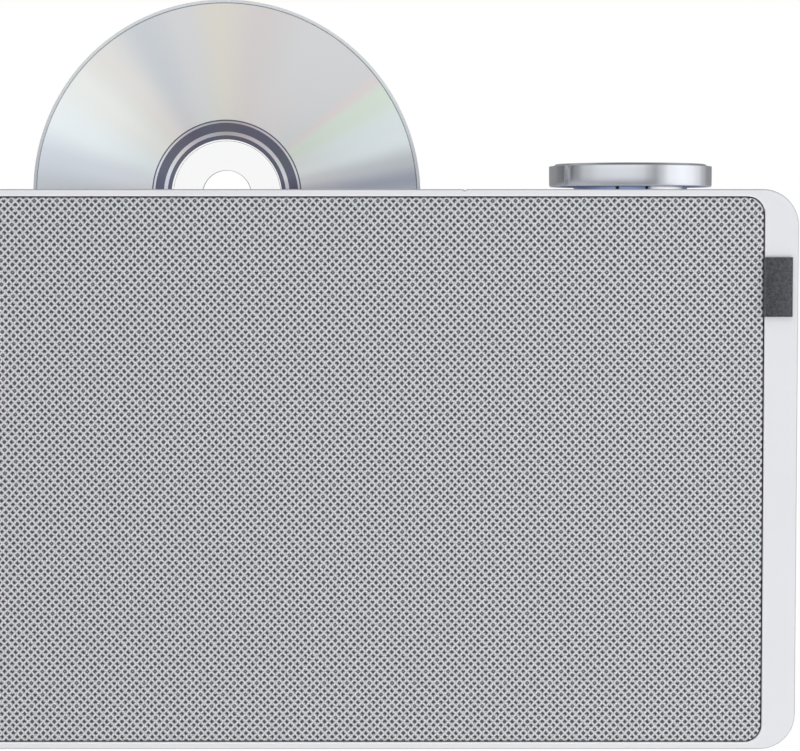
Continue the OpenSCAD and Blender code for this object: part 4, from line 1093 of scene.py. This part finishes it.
class PLAYER_OT_disc(bpy.types.Operator):
    """Turn the disc: clear hub, ridged mirror bands, recorded silver and clear edge"""

    bl_idname = "player.disc"
    bl_label = "Disc"

    # outer radius of each ring from the bore outwards, in mm, and its finish
    RINGS = ((17.1, "clear"), (18.35, "dark"), (19.5, "light"), (22.2, "dark"), (22.8, "light"),
             (23.2, "dark"), (58.8, "silver"), (59.1, "edge"))

    def execute(self, context):
        finish = context.scene.player_finish
        lowest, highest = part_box("disc")
        outer = (highest[0] - lowest[0]) / 2 / MM
        half, bore, chamfer = 0.6, 7.5, 0.12
        edge = self.RINGS[-1][0]
        outline = [(bore + chamfer, half)]
        for radius, kind in self.RINGS:
            if kind in ("dark", "edge"):
                sunk = half - 0.05
                outline += [(outline[-1][0] + 0.04, sunk), (radius - 0.04, sunk)]
            outline.append((radius, half))
        outline += [(outer - chamfer, half), (outer - 0.03, half - 0.04), (outer, half - chamfer),
                    (outer, chamfer - half), (outer - chamfer, -half), (edge, -half), (23, -half),
                    (17.5, -half), (17.4, -half - 0.14), (16.7, -half - 0.14), (16.6, -half),
                    (bore + chamfer, -half), (bore, chamfer - half), (bore, half - chamfer)]
        piece = lathe("disc_layers", outline, finish.disc_steps)
        # the middle of its thickness, without the ring on the rear face; the outline's height points
        # out of the front
        centre = Vector(((lowest[0] + highest[0]) / 2, lowest[1] + half * MM,
                         (lowest[2] + highest[2]) / 2))
        lay(piece, centre, (math.pi / 2, 0, 0))
        leave(20)
        materials = {
            "clear": disc_clear(),
            "silver": disc_silver(centre, tuple(finish.disc)),
            "dark": disc_band("Dark mirror band", paint(117, 118, 135), 0.12, centre),
            "light": disc_band("Bright mirror band", paint(250, 248, 254), 0.14, centre, upright=0.6),
            "edge": disc_band("Edge line", paint(190, 193, 198), 0.2, centre),
            "rim": moulded("Clear rim over silver", (214, 219, 221), 0.2, depth=0.002, mottle=0.02,
                           wear=0.03),
        }
        order = list(materials)
        dress(piece, *materials.values())
        for face in piece.data.polygons:
            x, y, z = face.center - centre
            reach = math.hypot(x, z) / MM
            if reach > edge or reach < bore + 0.15:
                kind = "rim"
            elif y > 0:
                kind = "clear" if reach < 17.6 else "dark" if reach < 23 else "silver"
            else:
                kind = next(kind for radius, kind in self.RINGS if reach < radius)
            face.material_index = order.index(kind)
        hand_in(piece, "disc", "disc_mirror", "disc")
        return {"FINISHED"}


class PLAYER_OT_knob(bpy.types.Operator):
    """Turn the knob from aluminium, with a raised plate and a side that draws in below"""

    bl_idname = "player.knob"
    bl_label = "Knob"

    def execute(self, context):
        lowest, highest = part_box("knob")
        centre = middle("knob")
        radius = (highest[0] - lowest[0]) / 2 / MM
        base = lowest[2] / MM
        top = highest[2] / MM - 0.12
        # the raised plate, the side's upper end, the hollow under the knob, its boss and its bore
        plate, side, floor = radius - 1.5, top - 0.7, base + 2.2
        recess, boss, bore, bore_top = 18.4, 7.6, 6.03, base + 5.42
        outline = [(0.02, top), (9, top), (plate - 0.66, top), (plate - 0.5, top - 0.04),
                   (plate - 0.42, top - 0.12), (plate, side + 0.24), (plate + 0.05, side + 0.2),
                   (radius - 0.2, side + 0.04), (radius - 0.06, side), (radius - 0.01, side - 0.06),
                   (radius, side - 0.16), (radius, side - 1.2)]
        # below that the side draws in more and more
        outline += [(radius - 0.0012 * draw ** 3, base + 4 - draw)
                    for draw in (0, 0.8, 1.6, 2.4, 3.1, 3.7)]
        outline += [
            (radius - 0.3, base), (recess + 0.2, base), (recess, base + 0.2), (recess, floor),
            (boss, floor), (boss, base + 0.4), (bore, base + 0.4), (bore, bore_top), (0.02, bore_top)]
        piece = lathe("volume_knob_turned", outline, context.scene.player_finish.knob_steps)
        lay(piece, (centre[0], centre[1], 0))
        leave(24)
        dress(piece, material_for("knob_aluminium"), knob_underside())
        for face in piece.data.polygons:
            if face.normal[2] < -0.5 and face.center[2] < lowest[2] + 0.05 * MM:
                face.material_index = 1
        hand_in(piece, "volume_knob", "knob_aluminium", "knob")
        return {"FINISHED"}


# ---------- operators: back and inside ----------
class PLAYER_OT_back(bpy.types.Operator):
    """Finish the rear cover, its screws, the sockets, the bumpers and the wall bracket"""

    bl_idname = "player.back"
    bl_label = "Back"

    def execute(self, context):
        finish_nodes(["cover_plastic", "screw_steel", "bracket_steel", "rubber_black",
                      "black_plastic", "pin_nickel"])
        return {"FINISHED"}


class PLAYER_OT_inside(bpy.types.Operator):
    """Finish the baffle, the boards and the loudspeakers"""

    bl_idname = "player.inside"
    bl_label = "Inside"

    def execute(self, context):
        finish_nodes(["dark_board", "board_green", "heatsink_black", "basket_steel", "cone_paper",
                      "white_plastic"])
        return {"FINISHED"}


class PLAYER_OT_drive(bpy.types.Operator):
    """Finish the disc drive: sheet metal, rods, gears, sled and lens"""

    bl_idname = "player.drive"
    bl_label = "Drive"

    def execute(self, context):
        finish_nodes(["chassis_steel", "brass_gear", "traverse_plastic", "lens_glass"])
        return {"FINISHED"}


class PLAYER_PT_panel(bpy.types.Panel):
    """Shows the player's settings and steps in the 3D view's sidebar"""

    bl_label = "Disc Player"
    bl_idname = "PLAYER_PT_panel"
    bl_space_type = "VIEW_3D"
    bl_region_type = "UI"
    bl_category = "Disc Player"

    def draw(self, context):
        layout = self.layout
        for group in SETTINGS:
            box = layout.box()
            settings = getattr(context.scene, group)
            for name in settings.bl_rna.properties.keys():
                if name not in ("rna_type", "name"):
                    box.prop(settings, name)
        for operator in OPERATORS:
            layout.operator(operator.bl_idname)


SETTINGS = {"player_stage": PlayerStageSettings, "player_cloth": PlayerClothSettings,
            "player_finish": PlayerFinishSettings}
OPERATORS = (PLAYER_OT_stage, PLAYER_OT_housing, PLAYER_OT_grille_cloth, PLAYER_OT_side_tag,
             PLAYER_OT_slot_felts, PLAYER_OT_disc, PLAYER_OT_knob, PLAYER_OT_back, PLAYER_OT_inside,
             PLAYER_OT_drive)


def register():
    for group in (*SETTINGS.values(), *OPERATORS, PLAYER_PT_panel):
        bpy.utils.register_class(group)
    for name, group in SETTINGS.items():
        setattr(bpy.types.Scene, name, PointerProperty(type=group))


def unregister():
    for name in SETTINGS:
        delattr(bpy.types.Scene, name)
    for group in (PLAYER_PT_panel, *reversed(OPERATORS), *SETTINGS.values()):
        bpy.utils.unregister_class(group)


def main():
    register()
    for operator in OPERATORS:
        group, name = operator.bl_idname.split(".")
        getattr(getattr(bpy.ops, group), name)()


if __name__ == "__main__":
    main()
